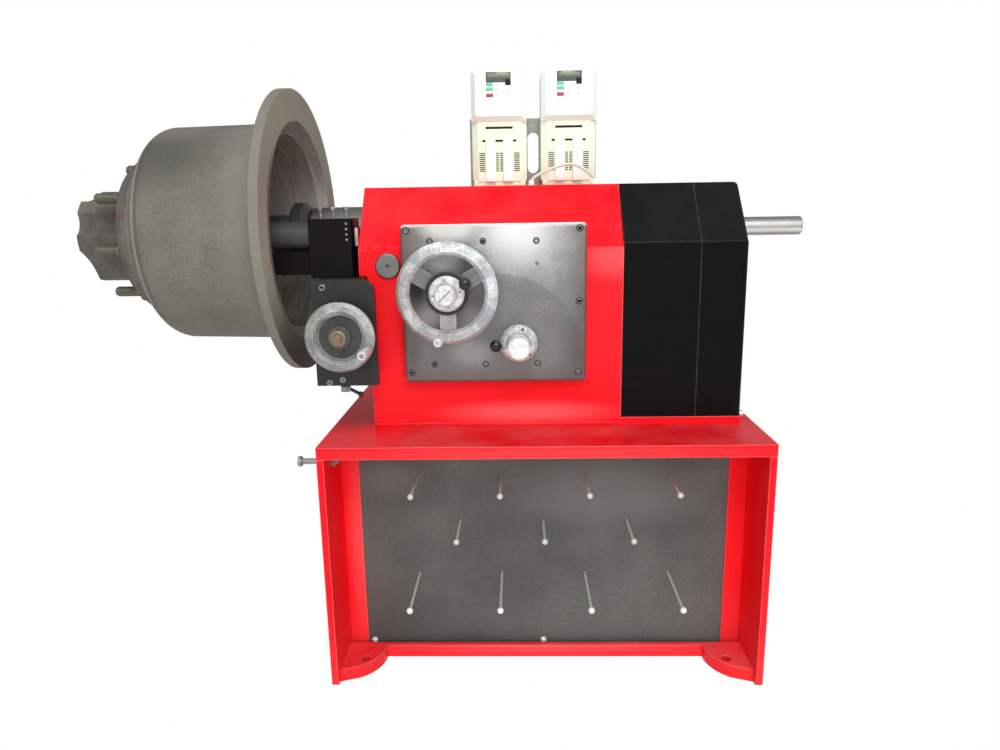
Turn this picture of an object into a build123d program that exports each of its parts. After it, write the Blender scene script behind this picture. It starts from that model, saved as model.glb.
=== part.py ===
from build123d import *
import math
import os

# Brake lathe: a steel stand, a head with a fed spindle, a cross-slide with its tool,
# two motor drives on top, and a truck drum with its hub clamped on the spindle.
# Millimetres. +X points to the operator's right, -Y to the operator, +Z up.
# The origin is on the floor, at the middle of the four anchor holes.

# Stand
stand_width = 900.0
stand_depth = 560.0
stand_height = 527.0
top_lip = 25.0
top_sheet = 8.0
lip_wall = 10.0
side_thickness = 14.0
side_corner = 10.0
upright_width = 39.0
upright_thickness = 4.0
upright_setback = 135.0
board_thickness = 3.0
board_lap = 8.0
crossbar_height = 28.0
crossbar_depth = 12.0
crossbar_setback = 110.0
rear_panel_thickness = 3.0

# Foot pads, with a slanted front edge that runs into a round inner corner
pad_width = 86.0
pad_setback = 18.0
pad_slant_run = 40.0
pad_slant_depth = 14.0
pad_bulge = 0.35
anchor_hole = 22.0
anchor_inset_x = 61.0
anchor_inset_y = 60.0

# Pegs on the board
peg_radius = 2.6
peg_ball = 6.5
peg_pitch = 181.0
lower_peg_pitch = 183.0
upper_peg_drop = 88.0
peg_row_step = 99.0
lower_row_step = 125.0
short_peg = 118.0
long_peg = 169.0

# Hanger bolt through the left side panel
hanger_radius = 6.0
hanger_reach = 55.0
hanger_head = 7.0
hanger_across_flats = 19.0
hanger_drop = 24.0
hanger_setback = 66.0

# Head casing and covers
head_left_inset = 90.0
head_right_inset = 30.0
end_cover_length = 97.0
belt_cover_length = 157.0
head_setback = 150.0
head_depth = 350.0
head_height = 501.0
slope_depth = 102.0
casing_slope_height = 127.0
cover_slope_height = 119.0
base_thickness = 16.0
casing_wall = 12.0
cover_wall = 5.0
cover_corner = 14.0
casing_edge = 5.0
pad_out = 16.0
pad_rise = 321.0
rear_window_margin = 40.0
rear_cover_lap = 14.0
rear_cover_thickness = 4.0
hold_down_radius = 6.0
hold_down_head = 8.0
hold_down_inset = 24.0

# Control plate on its boss
plate_left_margin = 75.0
plate_right_margin = 77.0
plate_rise = 102.0
plate_height = 322.0
plate_thickness = 10.0
plate_corner = 9.0
boss_margin = 5.0
boss_out = 12.0

# Spindle line, along X
spindle_setback = 160.0
spindle_rise = 407.0
quill_radius = 55.0
quill_out = 140.0
quill_overrun = 115.0
quill_bore = 37.0
quill_flat = 50.0
bush_wall = 8.0
bush_from_feed = 193.0
inner_bush_length = 40.0
web_thickness = 16.0
bearing_radius = 45.0
bearing_width = 25.0
bearing_recess = 2.0
shaft_radius = 30.0
arbor_radius = 40.0
arbor_inset = 14.0
shoulder_radius = 42.0
shoulder_length = 9.0
tail_radius = 20.0
tail_seat = 20.0
tail_out = 155.0
tail_chamfer = 2.0
tail_bush_wall = 10.0
tail_bush_length = 18.0
keyway_width = 8.0
keyway_depth = 4.0
running_fit = 0.05

# Feed: rack under the quill, pinion on the handwheel shaft
feed_inset = 97.0
gear_module = 3.0
pinion_teeth = 34
gear_width = 24.0
rack_height = 16.0
rack_before = 66.0
rack_after = 108.0
tooth_share = 0.45
flank_angle = 20.0
root_share = 1.25
rack_side = 90.0
feed_shaft_radius = 15.0
feed_bush_wall = 9.0
feed_bush_run = 132.0
feed_pulley_radius = 52.0
feed_motor_pulley_radius = 24.0
feed_belt_setback = 126.0
feed_belt_width = 16.0
feed_belt_thickness = 5.0
feed_motor_offset = 74.0
feed_motor_rise = 107.0
feed_motor_radius = 62.0
feed_motor_length = 150.0
feed_motor_gap = 12.0
feed_motor_shaft = 9.0

# Feed handwheel, its clutch dial, knob, ball lever and crank grip
wheel_radius = 100.0
wheel_opening = 74.0
wheel_reach = 70.0
wheel_rim_depth = 22.0
wheel_hub_radius = 40.0
spoke_count = 3
first_spoke = 30.0
spoke_width = 32.0
spoke_thickness = 11.0
dial_radius = 35.0
dial_depth = 16.0
knob_radius = 20.0
knob_reach = 40.0
lever_ball = 12.0
lever_stem = 4.0
lever_reach = 43.5
lever_angle = 29.0
grip_radius = 9.5
grip_waist = 7.4
grip_nose = 8.0
grip_neck = 24.0
grip_length = 70.0
grip_pin = 5.0
grip_offset = 86.0
grip_angle = 261.0
turning_gap = 0.3

# Feed selector at the lower right of the plate
selector_inset = 138.0
selector_rise = 82.0
selector_radius = 38.0
selector_depth = 24.0
selector_knob_radius = 22.5
selector_knob_reach = 62.0
selector_shaft = 8.0
selector_lever_reach = 46.0
selector_lever_angle = 180.0

# Machined plug in the head's front
plug_inset = 44.0
plug_rise = 341.0
plug_radius = 26.0
plug_out = 5.0
plug_centre = 4.0

# Spindle drive: motor, belt and pulleys
motor_back_gap = 110.0
motor_rise = 107.0
motor_radius = 80.0
motor_gap = 50.0
motor_end_gap = 26.0
motor_foot_width = 120.0
motor_shaft = 14.0
belt_offset = 96.0
belt_width = 18.0
belt_thickness = 11.0
pulley_width = 40.0
drive_pulley_radius = 70.0
motor_pulley_radius = 40.0
pulley_hub_radius = 32.0
pulley_bearing_radius = 48.0
bracket_offset = 48.0
bracket_thickness = 24.0
bracket_half_width = 66.0

# Truck drum, hub and clamping on the arbor
drum_standoff = 168.0
drum_flange_radius = 304.0
drum_flange_thickness = 19.0
drum_body_length = 254.0
drum_body_radius = 234.7
drum_taper = 5.2
drum_wall = 21.5
drum_mouth_radius = 238.0
drum_shoulder_length = 45.0
drum_shoulder_drop = 42.5
drum_shoulder_bulge = 10.5
drum_end_wall = 22.0
drum_pilot_radius = 100.0
hub_flange_radius = 168.0
hub_flange_thickness = 50.0
hub_flange_slope_run = 20.0
hub_flange_slope_drop = 17.0
hub_barrel_length = 113.0
hub_lobe_radius = 100.0
hub_snout_length = 67.0
hub_snout_radius = 88.0
hub_bore = 60.0
hub_counterbore = 76.0
hub_counterbore_depth = 66.0
stud_phase = 191.0
lobe_count = 3
dip_phase = 164.0
dip_radius = 34.0
dip_centre = 121.5
valley_phase = 224.0
valley_radius = 150.0
valley_centre = 232.0
stud_count = 8
stud_circle = 285.0
stud_radius = 11.0
stud_length = 51.0
short_stud_length = 23.0
collar_radius = 66.0
collar_length = 38.0
collar_gap = 7.0
collar_chamfer = 4.0
collar_nose = 13.0
cone_big = 72.0
cone_small = 48.0
cone_length = 46.0
cone_seat = 0.2
arbor_nut_across_flats = 96.0
arbor_nut_length = 26.0

# Cross-slide at the head's left
slide_out = 96.0
slide_plate_lap = 28.0
slide_rise = 109.0
slide_plate_height = 212.0
slide_plate_reach = 80.0
slide_plate_thickness = 12.0
slide_plate_corner = 24.0
slide_base_run = 258.0
slide_base_height = 154.0
slide_base_wall = 12.0
slide_pocket_height = 64.0
slide_wall_gap = 1.0
dovetail_offset = 54.0
dovetail_neck = 28.0
dovetail_head = 38.0
dovetail_height = 18.0
screw_offset = 62.0
screw_rise = 106.0
screw_radius = 10.0
screw_slot = 12.0
nut_length = 40.0
nut_drop = 16.0
carriage_gap = 48.0
carriage_length = 170.0
carriage_height = 56.0
slide_fit = 0.1

# Cross-slide handwheel
cross_wheel_radius = 68.0
cross_wheel_recess = 46.0
cross_wheel_reach = 52.0
cross_wheel_rim_depth = 20.0
cross_wheel_web = 8.0
cross_hub_radius = 21.0
cross_nut_radius = 16.0
cross_nut_length = 12.0
cross_grip_offset = 60.0
cross_grip_angle = -24.0
cross_grip_length = 62.0

# Tool post, arm and bit
post_overhang = 17.0
post_width = 86.0
post_inset = 10.0
post_depth = 85.0
post_height = 119.0
arm_radius = 28.0
arm_height = 86.0
arm_reach = 98.0
arm_stop = 13.0
ledge_reach = 83.0
ledge_width = 48.0
ledge_rise = 6.0
ledge_height = 48.0
clamp_screw_count = 3
clamp_screw_pitch = 26.5
clamp_screw_radius = 6.0
clamp_screw_head = 8.0
clamp_screw_rise = 24.0
bit_width = 16.0
bit_reach = 20.0
bit_back = 26.0
bit_tip = 6.0

# Lock lever under the cross-slide
lock_offset = 51.0
lock_inset = 26.0
lock_radius = 9.0
lock_drop = 16.0
lock_pin = 5.0
lock_pin_length = 10.0
lock_reach = 30.0
lock_fall = 16.0
lock_rod = 3.5
lock_ball = 6.0

# Motor drives on top of the head
drive_width = 122.0
drive_height = 236.0
drive_depth = 120.0
drive_setback = 180.0
drive_rise = 12.0
drive_inset = 211.0
drive_gap = 32.0
drive_edge = 7.0
drive_face_taper = 10.0
drive_top_taper = 4.0
drive_shelf_height = 128.0
drive_shelf_depth = 16.0
drive_slot_height = 5.0
drive_cheek = 14.0
tongue_width = 21.0
tongue_height = 88.0
tongue_gap = 18.0
tongue_depth = 7.0
display_width = 54.0
display_height = 26.0
display_recess = 3.0
display_margin = 7.0
mount_margin = 10.0
mount_thickness = 4.0
mount_height = 158.0
mount_foot = 40.0
mount_slot_width = 26.0
mount_slot_height = 92.0
mount_slot_rise = 34.0

# Lead that humps from gland to gland on the head's top
lead_radius = 3.5
lead_setback = 152.0
lead_offset = 131.0
gland_radius = 8.0
gland_height = 4.0
lead_route = [(0, 4), (0, 14), (18, 25), (56, 41), (92, 47), (120, 31), (138, 16), (138, 4)]

# Bolt at the right end of the head's base
base_bolt_radius = 5.0
base_bolt_head = 6.5
base_bolt_reach = 10.0
base_bolt_head_length = 8.0
base_bolt_depth = 20.0
base_bolt_inset = 50.0

# Places worked out from the sizes above
stand_front = -stand_depth / 2
stand_back = stand_depth / 2
side_in = stand_width / 2 - side_thickness
panel_top = stand_height - top_lip
sheet_under = stand_height - top_sheet
board_front = stand_front + upright_setback + upright_thickness
anchor_x = stand_width / 2 - anchor_inset_x
anchor_y = stand_depth / 2 - anchor_inset_y
upper_peg_height = panel_top - upper_peg_drop
middle_peg_height = upper_peg_height - peg_row_step
lower_peg_height = middle_peg_height - lower_row_step
hanger_height = panel_top - hanger_drop
head_left = -stand_width / 2 + head_left_inset
head_right = stand_width / 2 - head_right_inset
cover_joint = head_right - end_cover_length
cover_start = cover_joint - belt_cover_length
head_front = stand_front + head_setback
head_back = head_front + head_depth
head_top = stand_height + head_height
base_top = stand_height + base_thickness
pad_left = head_left - pad_out
pad_low = stand_height + pad_rise
plate_left = head_left + plate_left_margin
plate_right = cover_start - plate_right_margin
plate_low = stand_height + plate_rise
plate_high = plate_low + plate_height
boss_front = head_front - boss_out
plate_front = boss_front - plate_thickness
spindle_y = head_front + spindle_setback
spindle_z = stand_height + spindle_rise
pitch_radius = gear_module * pinion_teeth / 2
rack_pitch = math.pi * gear_module
feed_x = plate_left + feed_inset
feed_z = spindle_z - quill_flat - rack_height + gear_module - pitch_radius
rack_left = feed_x - rack_before
rack_right = feed_x + rack_after
inner_bush_x = feed_x + bush_from_feed
quill_left = head_left - quill_out
quill_right = inner_bush_x + quill_overrun
tail_start = quill_right - tail_seat
tail_right = head_right + tail_out
feed_bush_back = plate_front + feed_bush_run
feed_belt_y = head_front + feed_belt_setback
feed_motor_x = feed_x - feed_motor_offset
feed_motor_z = base_top + feed_motor_rise
wheel_front = plate_front - wheel_reach
wheel_back = wheel_front + wheel_rim_depth
selector_x = plate_right - selector_inset
selector_z = plate_low + selector_rise
plug_x = head_left + plug_inset
plug_z = stand_height + plug_rise
motor_y = head_back - motor_back_gap
motor_z = base_top + motor_rise
motor_left = feed_motor_x + feed_motor_radius + motor_gap
motor_right = cover_start - motor_end_gap
belt_x = cover_start + belt_offset
bracket_x = cover_start + bracket_offset
drum_face = head_left - drum_standoff
drum_shoulder_x = drum_face - drum_body_length
drum_end = drum_shoulder_x - drum_shoulder_length
drum_body_end_radius = drum_body_radius - drum_taper
drum_end_radius = drum_body_end_radius - drum_shoulder_drop
drum_friction_radius = drum_body_radius - drum_wall
hub_flange_left = drum_end - hub_flange_thickness
hub_left = hub_flange_left - hub_barrel_length
hub_right = drum_end + hub_snout_length
arbor_left = hub_left + arbor_inset
collar_right = quill_left - collar_gap
collar_left = collar_right - collar_length
slide_left = head_left - slide_out
slide_right = head_left
slide_plate_right = head_left + slide_plate_lap
slide_low = stand_height + slide_rise
slide_plate_high = slide_low + slide_plate_height
slide_plate_front = head_front - slide_plate_reach
slide_plate_back = slide_plate_front + slide_plate_thickness
slide_base_back = slide_plate_back + slide_base_run
slide_base_top = slide_low + slide_base_height
slide_pocket_top = slide_low + slide_pocket_height
dovetail_x = slide_left + dovetail_offset
dovetail_top = slide_base_top + dovetail_height
screw_x = slide_left + screw_offset
screw_z = slide_low + screw_rise
carriage_front = slide_plate_back + carriage_gap
carriage_back = carriage_front + carriage_length
carriage_under = slide_base_top + slide_fit
carriage_top = slide_base_top + carriage_height
cross_wheel_front = slide_plate_front - cross_wheel_reach
post_left = slide_left - post_overhang
post_right = post_left + post_width
post_front = carriage_front + post_inset
post_back = post_front + post_depth
post_low = carriage_top
post_high = post_low + post_height
arm_y = (post_front + post_back) / 2
arm_z = post_low + arm_height
arm_left = drum_face - arm_reach
arm_right = post_right - arm_stop
lock_x = slide_left + lock_offset
lock_y = slide_plate_front + lock_inset
drive_front = head_front + drive_setback
drive_back = drive_front + drive_depth
drive_low = head_top + drive_rise
drive_left_x = head_left + drive_inset
lead_y = head_front + lead_setback
lead_left = drive_left_x + lead_offset
lead_right = lead_left + lead_route[-1][0]


def block(x0, x1, y0, y1, z0, z1):
    """Box between two corners."""
    middle = Pos((x0 + x1) / 2, (y0 + y1) / 2, (z0 + z1) / 2)
    return middle * Box(x1 - x0, y1 - y0, z1 - z0)


def rod_x(radius, x0, x1, y, z):
    """Round bar along X."""
    return Pos((x0 + x1) / 2, y, z) * Rot(0, 90, 0) * Cylinder(radius, x1 - x0)


def rod_y(radius, y0, y1, x, z):
    """Round bar along Y."""
    return Pos(x, (y0 + y1) / 2, z) * Rot(90, 0, 0) * Cylinder(radius, y1 - y0)


def rod_z(radius, z0, z1, x, y):
    """Round bar along Z."""
    return Pos(x, y, (z0 + z1) / 2) * Cylinder(radius, z1 - z0)


def rod_between(start, end, radius):
    """Round bar from one point to another."""
    line = Vector(*end) - Vector(*start)
    seat = Plane(origin=start, z_dir=line)
    return seat * Pos(0, 0, line.length / 2) * Cylinder(radius, line.length)


def turned_x(profile, y, z):
    """Turned solid about an X line; the profile's points are (x, radius)."""
    return Pos(0, y, z) * revolve(make_face(Polyline(*profile, close=True)), Axis.X)


def turned_y(profile, x, z):
    """Turned solid about a Y line; the profile's points are (y, radius)."""
    points = [(radius, y) for y, radius in profile]
    return Pos(x, 0, z) * revolve(make_face(Polyline(*points, close=True)), Axis.Y)


def hexagon_x(across_flats, x0, x1, y, z):
    """Hexagon bar along X."""
    seat = Plane(origin=(x0, y, z), x_dir=(0, 1, 0), z_dir=(1, 0, 0))
    return extrude(seat * RegularPolygon(across_flats / 2, 6, major_radius=False), amount=x1 - x0)


def prism(seat, outline, length):
    """Straight prism on a seat plane, along the plane's normal."""
    return extrude(make_face(seat * Polyline(*outline, close=True)), amount=length, dir=seat.z_dir)


def around(angle, radius):
    """Offset at an angle in degrees, as a pair."""
    turn = math.radians(angle)
    return radius * math.cos(turn), radius * math.sin(turn)


def group(pieces):
    """Separate solids that share one node."""
    return Compound(children=[solid for piece in pieces for solid in piece.solids()])


def save(name, piece):
    """Write one node's STEP file."""
    export_step(piece, f"parts/{name}.step")


# Stand
def stand_top():
    """Tray-shaped top plate with a lip that rests on the side panels."""
    half = stand_width / 2
    top = block(-half, half, stand_front, stand_back, panel_top, stand_height)
    top -= block(-side_in, side_in, stand_front + lip_wall, stand_back - lip_wall, panel_top, sheet_under)
    for x, y in hold_down_places():
        top -= rod_z(hold_down_radius + turning_gap, sheet_under, stand_height, x, y)
    return top


def side_panel(sign):
    """Upright side plate, its lower corners rounded."""
    x0, x1 = sorted((sign * side_in, sign * stand_width / 2))
    panel = block(x0, x1, stand_front, stand_back, 0, panel_top)
    low = panel.edges().filter_by(Axis.X).group_by(Axis.Z)[0]
    panel = fillet(low, side_corner)
    if sign < 0:
        panel -= rod_x(hanger_radius + turning_gap, x0, x1, stand_front + hanger_setback, hanger_height)
    return panel


def uprights():
    """Flat strips on the side panels that frame the peg board."""
    y0 = stand_front + upright_setback
    strips = []
    for sign in (-1, 1):
        x0, x1 = sorted((sign * side_in, sign * (side_in - upright_width)))
        strips.append(block(x0, x1, y0, y0 + upright_thickness, 0, sheet_under))
    return group(strips)


def crossbars():
    """Front and rear floor bars between the side panels."""
    front = stand_front + crossbar_setback
    rear = stand_back - crossbar_setback
    return group([
        block(-side_in, side_in, front, front + crossbar_depth, 0, crossbar_height),
        block(-side_in, side_in, rear - crossbar_depth, rear, 0, crossbar_height),
    ])


def foot_pad(sign_x, sign_y):
    """Corner foot with a slanted front edge, a round inner corner and an anchor hole."""
    outer = side_in
    inner = side_in - pad_width
    rear = stand_depth / 2 - crossbar_setback
    front = stand_depth / 2 - pad_setback
    knee_x = outer - pad_slant_run
    knee_y = front - pad_slant_depth
    bulge_x = inner + (knee_x - inner) * pad_bulge
    bulge_y = knee_y - (knee_y - rear) * pad_bulge
    edges = Polyline((inner, rear), (outer, rear), (outer, front), (knee_x, knee_y)).edges()
    edges += ThreePointArc((knee_x, knee_y), (bulge_x, bulge_y), (inner, rear)).edges()
    pad = extrude(make_face(edges), amount=crossbar_height, dir=(0, 0, 1))
    pad -= rod_z(anchor_hole / 2, 0, crossbar_height, anchor_x, anchor_y)
    if sign_x < 0:
        pad = mirror(pad, about=Plane.YZ)
    if sign_y < 0:
        pad = mirror(pad, about=Plane.XZ)
    return pad


def foot_pads():
    """The four corner feet."""
    return group([foot_pad(sx, sy) for sx in (-1, 1) for sy in (-1, 1)])


def peg_places():
    """Each peg's x, height and length: four above, three in the middle, four below."""
    for step in (-1.5, -0.5, 0.5, 1.5):
        yield step * peg_pitch, upper_peg_height, short_peg
        yield step * lower_peg_pitch, lower_peg_height, long_peg
    for step in (-1, 0, 1):
        yield step * peg_pitch, middle_peg_height, short_peg


def peg_board():
    """Dark sheet behind the uprights that carries the pegs."""
    half = side_in - upright_width + board_lap
    return block(-half, half, board_front, board_front + board_thickness, 0, sheet_under)


def peg(x, z, length):
    """Rod on the board with a ball at its free end."""
    tip = board_front - length
    rod = rod_y(peg_radius, tip + peg_ball, board_front, x, z)
    return rod + Pos(x, tip + peg_ball, z) * Sphere(peg_ball)


def pegs():
    """The eleven hanging pegs."""
    return group([peg(*place) for place in peg_places()])


def rear_panel():
    """Sheet that closes the stand's back, on the rear crossbar."""
    y1 = stand_back - crossbar_setback
    return block(-side_in, side_in, y1 - rear_panel_thickness, y1, crossbar_height, sheet_under)


def hanger_bolt():
    """Hexagon bolt through the left side panel, with its nut inside."""
    y = stand_front + hanger_setback
    out = -stand_width / 2 - hanger_reach
    inside = -side_in
    bolt = rod_x(hanger_radius, out + hanger_head, inside + 2 * hanger_head, y, hanger_height)
    bolt += hexagon_x(hanger_across_flats, out, out + hanger_head, y, hanger_height)
    bolt += hexagon_x(hanger_across_flats, inside, inside + hanger_head, y, hanger_height)
    return bolt


# Head
def head_prism(x0, x1, slope_height, inset, floor):
    """Length of the head's section: upright front, sloped upper front, flat top."""
    crease = head_top - slope_height
    length = math.hypot(slope_depth, slope_height)
    across, up = slope_depth / length, slope_height / length
    start = (inset - inset * up) / across
    front_z = crease - inset * across + start * up
    end = (head_top - inset - crease + inset * across) / up
    top_y = head_front + inset * up + end * across
    points = [
        (head_front + inset, floor),
        (head_front + inset, front_z),
        (top_y, head_top - inset),
        (head_back - inset, head_top - inset),
        (head_back - inset, floor),
    ]
    seat = Plane(origin=(x0, 0, 0), x_dir=(0, 1, 0), z_dir=(1, 0, 0))
    return prism(seat, points, x1 - x0)


def hold_down_places():
    """Bolts that hold the head on the stand, from below."""
    for x in (head_left + hold_down_inset, head_right - hold_down_inset):
        for y in (head_front + hold_down_inset, head_back - hold_down_inset):
            yield x, y


def head_casing():
    """Cast casing with its base, plate boss, spindle pad, inner web and rear window."""
    outer = head_prism(head_left, cover_start, casing_slope_height, 0, stand_height)
    crease = (0, head_front, head_top - casing_slope_height)
    outer = fillet(outer.edges().filter_by(Axis.X).sort_by_distance(crease)[:2], casing_edge)
    pad = head_prism(pad_left, head_left, casing_slope_height, 0, pad_low)
    boss = block(
        plate_left + boss_margin, plate_right - boss_margin, boss_front, head_front + slope_depth / 2,
        plate_low + boss_margin, plate_high - boss_margin,
    )
    inside = head_prism(head_left + casing_wall, cover_start, casing_slope_height, casing_wall, base_top)
    web_left = inner_bush_x - web_thickness / 2
    web_right = web_left + web_thickness
    web = head_prism(web_left, web_right, casing_slope_height, casing_wall, spindle_z - quill_radius - pad_out)
    casing = outer + pad + boss - inside + web
    casing += block(head_left, head_right, head_front, head_back, stand_height, base_top)
    casing -= rod_x(quill_radius + bush_wall, pad_left, web_right, spindle_y, spindle_z)
    casing -= rod_y(feed_shaft_radius + feed_bush_wall, boss_front, head_front + slope_depth, feed_x, feed_z)
    casing -= rod_y(selector_shaft + turning_gap, boss_front, head_front + slope_depth, selector_x, selector_z)
    casing -= rod_y(plug_radius, head_front, head_front + casing_wall, plug_x, plug_z)
    casing -= block(
        head_left + rear_window_margin, cover_start - rear_window_margin, head_back - casing_wall, head_back,
        base_top + rear_window_margin, head_top - rear_window_margin,
    )
    casing -= rod_x(base_bolt_radius, head_right - base_bolt_depth, head_right, base_bolt_y(), base_bolt_z())
    for x, y in hold_down_places():
        casing -= rod_z(hold_down_radius, stand_height, base_top, x, y)
    return casing


def rear_cover():
    """Plate over the casing's rear window."""
    lap = rear_window_margin - rear_cover_lap
    return block(
        head_left + lap, cover_start - lap, head_back, head_back + rear_cover_thickness,
        base_top + lap, head_top - lap,
    )


def cover_shell(x0, x1, end_wall):
    """Sheet-metal cover of the head's section, open below, with or without an end wall."""
    shell = head_prism(x0, x1, cover_slope_height, 0, base_top)
    if end_wall:
        right = shell.faces().sort_by(Axis.X)[-1]
        rim = [edge for edge in right.edges() if edge.center().Z > base_top + cover_corner]
        shell = fillet(rim, cover_corner)
    return shell - head_prism(x0, x1 - end_wall, cover_slope_height, cover_wall, base_top)


def belt_cover():
    """Black cover over the spindle belt."""
    return cover_shell(cover_start, cover_joint, 0)


def end_cover():
    """Black end cover with the hole for the tail bush."""
    cover = cover_shell(cover_joint, head_right, cover_wall)
    hole = rod_x(tail_radius + tail_bush_wall, head_right - cover_wall, head_right, spindle_y, spindle_z)
    return cover - hole


def tail_bush():
    """Bronze bush where the spindle tail leaves the end cover."""
    x0 = head_right - tail_bush_length / 2
    x1 = head_right + tail_bush_length / 2
    ring = rod_x(tail_radius + tail_bush_wall, x0, x1, spindle_y, spindle_z)
    return ring - rod_x(tail_radius + running_fit, x0, x1, spindle_y, spindle_z)


def hold_down_bolts():
    """Bolts from under the stand's top into the head's base."""
    bolts = []
    for x, y in hold_down_places():
        shank = rod_z(hold_down_radius, sheet_under, base_top, x, y)
        head = rod_z(2 * hold_down_radius, sheet_under - hold_down_head, sheet_under, x, y)
        bolts.append(shank + head)
    return group(bolts)


def base_bolt_y():
    """Depth of the bolt in the base's right end."""
    return head_front + base_bolt_inset


def base_bolt_z():
    """Height of the bolt in the base's right end."""
    return stand_height + base_thickness / 2


def base_bolt():
    """Bolt in the right end of the head's base."""
    neck = head_right + base_bolt_reach
    bolt = rod_x(base_bolt_radius, head_right - base_bolt_depth, neck, base_bolt_y(), base_bolt_z())
    end = neck + base_bolt_head_length
    return bolt + hexagon_x(2 * base_bolt_head, neck, end, base_bolt_y(), base_bolt_z())


def control_plate():
    """Ground steel plate that carries the feed controls."""
    plate = block(plate_left, plate_right, plate_front, boss_front, plate_low, plate_high)
    plate = fillet(plate.edges().filter_by(Axis.Y), plate_corner)
    plate -= rod_y(feed_shaft_radius + feed_bush_wall, plate_front, boss_front, feed_x, feed_z)
    return plate - rod_y(selector_shaft + running_fit, plate_front, boss_front, selector_x, selector_z)


def front_plug():
    """Turned plug with a centre hole in the head's front."""
    y0 = head_front - plug_out
    y1 = head_front + casing_wall
    plug = turned_y([
        (y0, 0), (y0, plug_radius - plug_out / 2), (y0 + plug_out / 2, plug_radius),
        (y1, plug_radius), (y1, 0),
    ], plug_x, plug_z)
    return plug - rod_y(plug_centre, y0, y0 + plug_out, plug_x, plug_z)


# Spindle line
def quill_bushes():
    """Bronze bushes of the sliding quill: one in the left wall, one in the inner web."""
    rings = []
    half = inner_bush_length / 2
    for x0, x1 in ((pad_left, head_left + casing_wall), (inner_bush_x - half, inner_bush_x + half)):
        ring = rod_x(quill_radius + bush_wall, x0, x1, spindle_y, spindle_z)
        rings.append(ring - rod_x(quill_radius + running_fit, x0, x1, spindle_y, spindle_z))
    return group(rings)


def quill():
    """Sliding sleeve with bearing seats at both ends and a flat for the rack."""
    seat = bearing_recess + bearing_width
    sleeve = turned_x([
        (quill_left, bearing_radius), (quill_left, quill_radius), (quill_right, quill_radius),
        (quill_right, bearing_radius), (quill_right - seat, bearing_radius), (quill_right - seat, quill_bore),
        (quill_left + seat, quill_bore), (quill_left + seat, bearing_radius),
    ], spindle_y, spindle_z)
    flat = block(
        rack_left, rack_right, spindle_y - quill_radius, spindle_y + quill_radius,
        spindle_z - 2 * quill_radius, spindle_z - quill_flat,
    )
    return sleeve - flat


def feed_rack():
    """Toothed rack on the quill's flat; one tooth stands over the pinion's middle."""
    pitch_line = feed_z + pitch_radius
    tip = pitch_line - gear_module
    root = pitch_line + root_share * gear_module
    lean = math.tan(math.radians(flank_angle))
    half_tip = tooth_share * rack_pitch / 2 - gear_module * lean
    half_root = tooth_share * rack_pitch / 2 + root_share * gear_module * lean
    first = math.ceil((rack_left + half_root - feed_x) / rack_pitch)
    last = math.floor((rack_right - half_root - feed_x) / rack_pitch)
    outline = [(rack_left, spindle_z - quill_flat), (rack_left, root)]
    for step in range(first, last + 1):
        middle = feed_x + step * rack_pitch
        outline += [(middle - half_root, root), (middle - half_tip, tip)]
        outline += [(middle + half_tip, tip), (middle + half_root, root)]
    outline += [(rack_right, root), (rack_right, spindle_z - quill_flat)]
    seat = Plane(origin=(0, spindle_y + gear_width / 2, 0), x_dir=(1, 0, 0), z_dir=(0, -1, 0))
    return prism(seat, outline, gear_width)


def spindle_bearings():
    """Rolling bearings of the spindle in the quill's seats."""
    rings = []
    for x0 in (quill_left + bearing_recess, quill_right - bearing_recess - bearing_width):
        ring = rod_x(bearing_radius, x0, x0 + bearing_width, spindle_y, spindle_z)
        rings.append(ring - rod_x(shaft_radius + running_fit, x0, x0 + bearing_width, spindle_y, spindle_z))
    return group(rings)


def spindle():
    """Arbor, shoulder, bearing length and long tail with its keyway, in one shaft."""
    bearing_face = quill_left + bearing_recess
    shaft = turned_x([
        (arbor_left, 0), (arbor_left, arbor_radius - tail_chamfer), (arbor_left + tail_chamfer, arbor_radius),
        (collar_right, arbor_radius), (collar_right, shoulder_radius), (bearing_face, shoulder_radius),
        (bearing_face, shaft_radius), (tail_start, shaft_radius), (tail_start, tail_radius),
        (tail_right - tail_chamfer, tail_radius), (tail_right, tail_radius - tail_chamfer), (tail_right, 0),
    ], spindle_y, spindle_z)
    keyway = block(
        quill_right, head_right - tail_bush_length, spindle_y - keyway_width / 2, spindle_y + keyway_width / 2,
        spindle_z + tail_radius - keyway_depth, spindle_z + tail_radius,
    )
    return shaft - keyway


def clamp_collar():
    """Flanged collar on the arbor with a sloped nose on its right."""
    return turned_x([
        (collar_left, arbor_radius), (collar_left, collar_radius - collar_chamfer),
        (collar_left + collar_chamfer, collar_radius), (collar_right - collar_nose, collar_radius),
        (collar_right, collar_radius - collar_nose), (collar_right, arbor_radius),
    ], spindle_y, spindle_z)


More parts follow.
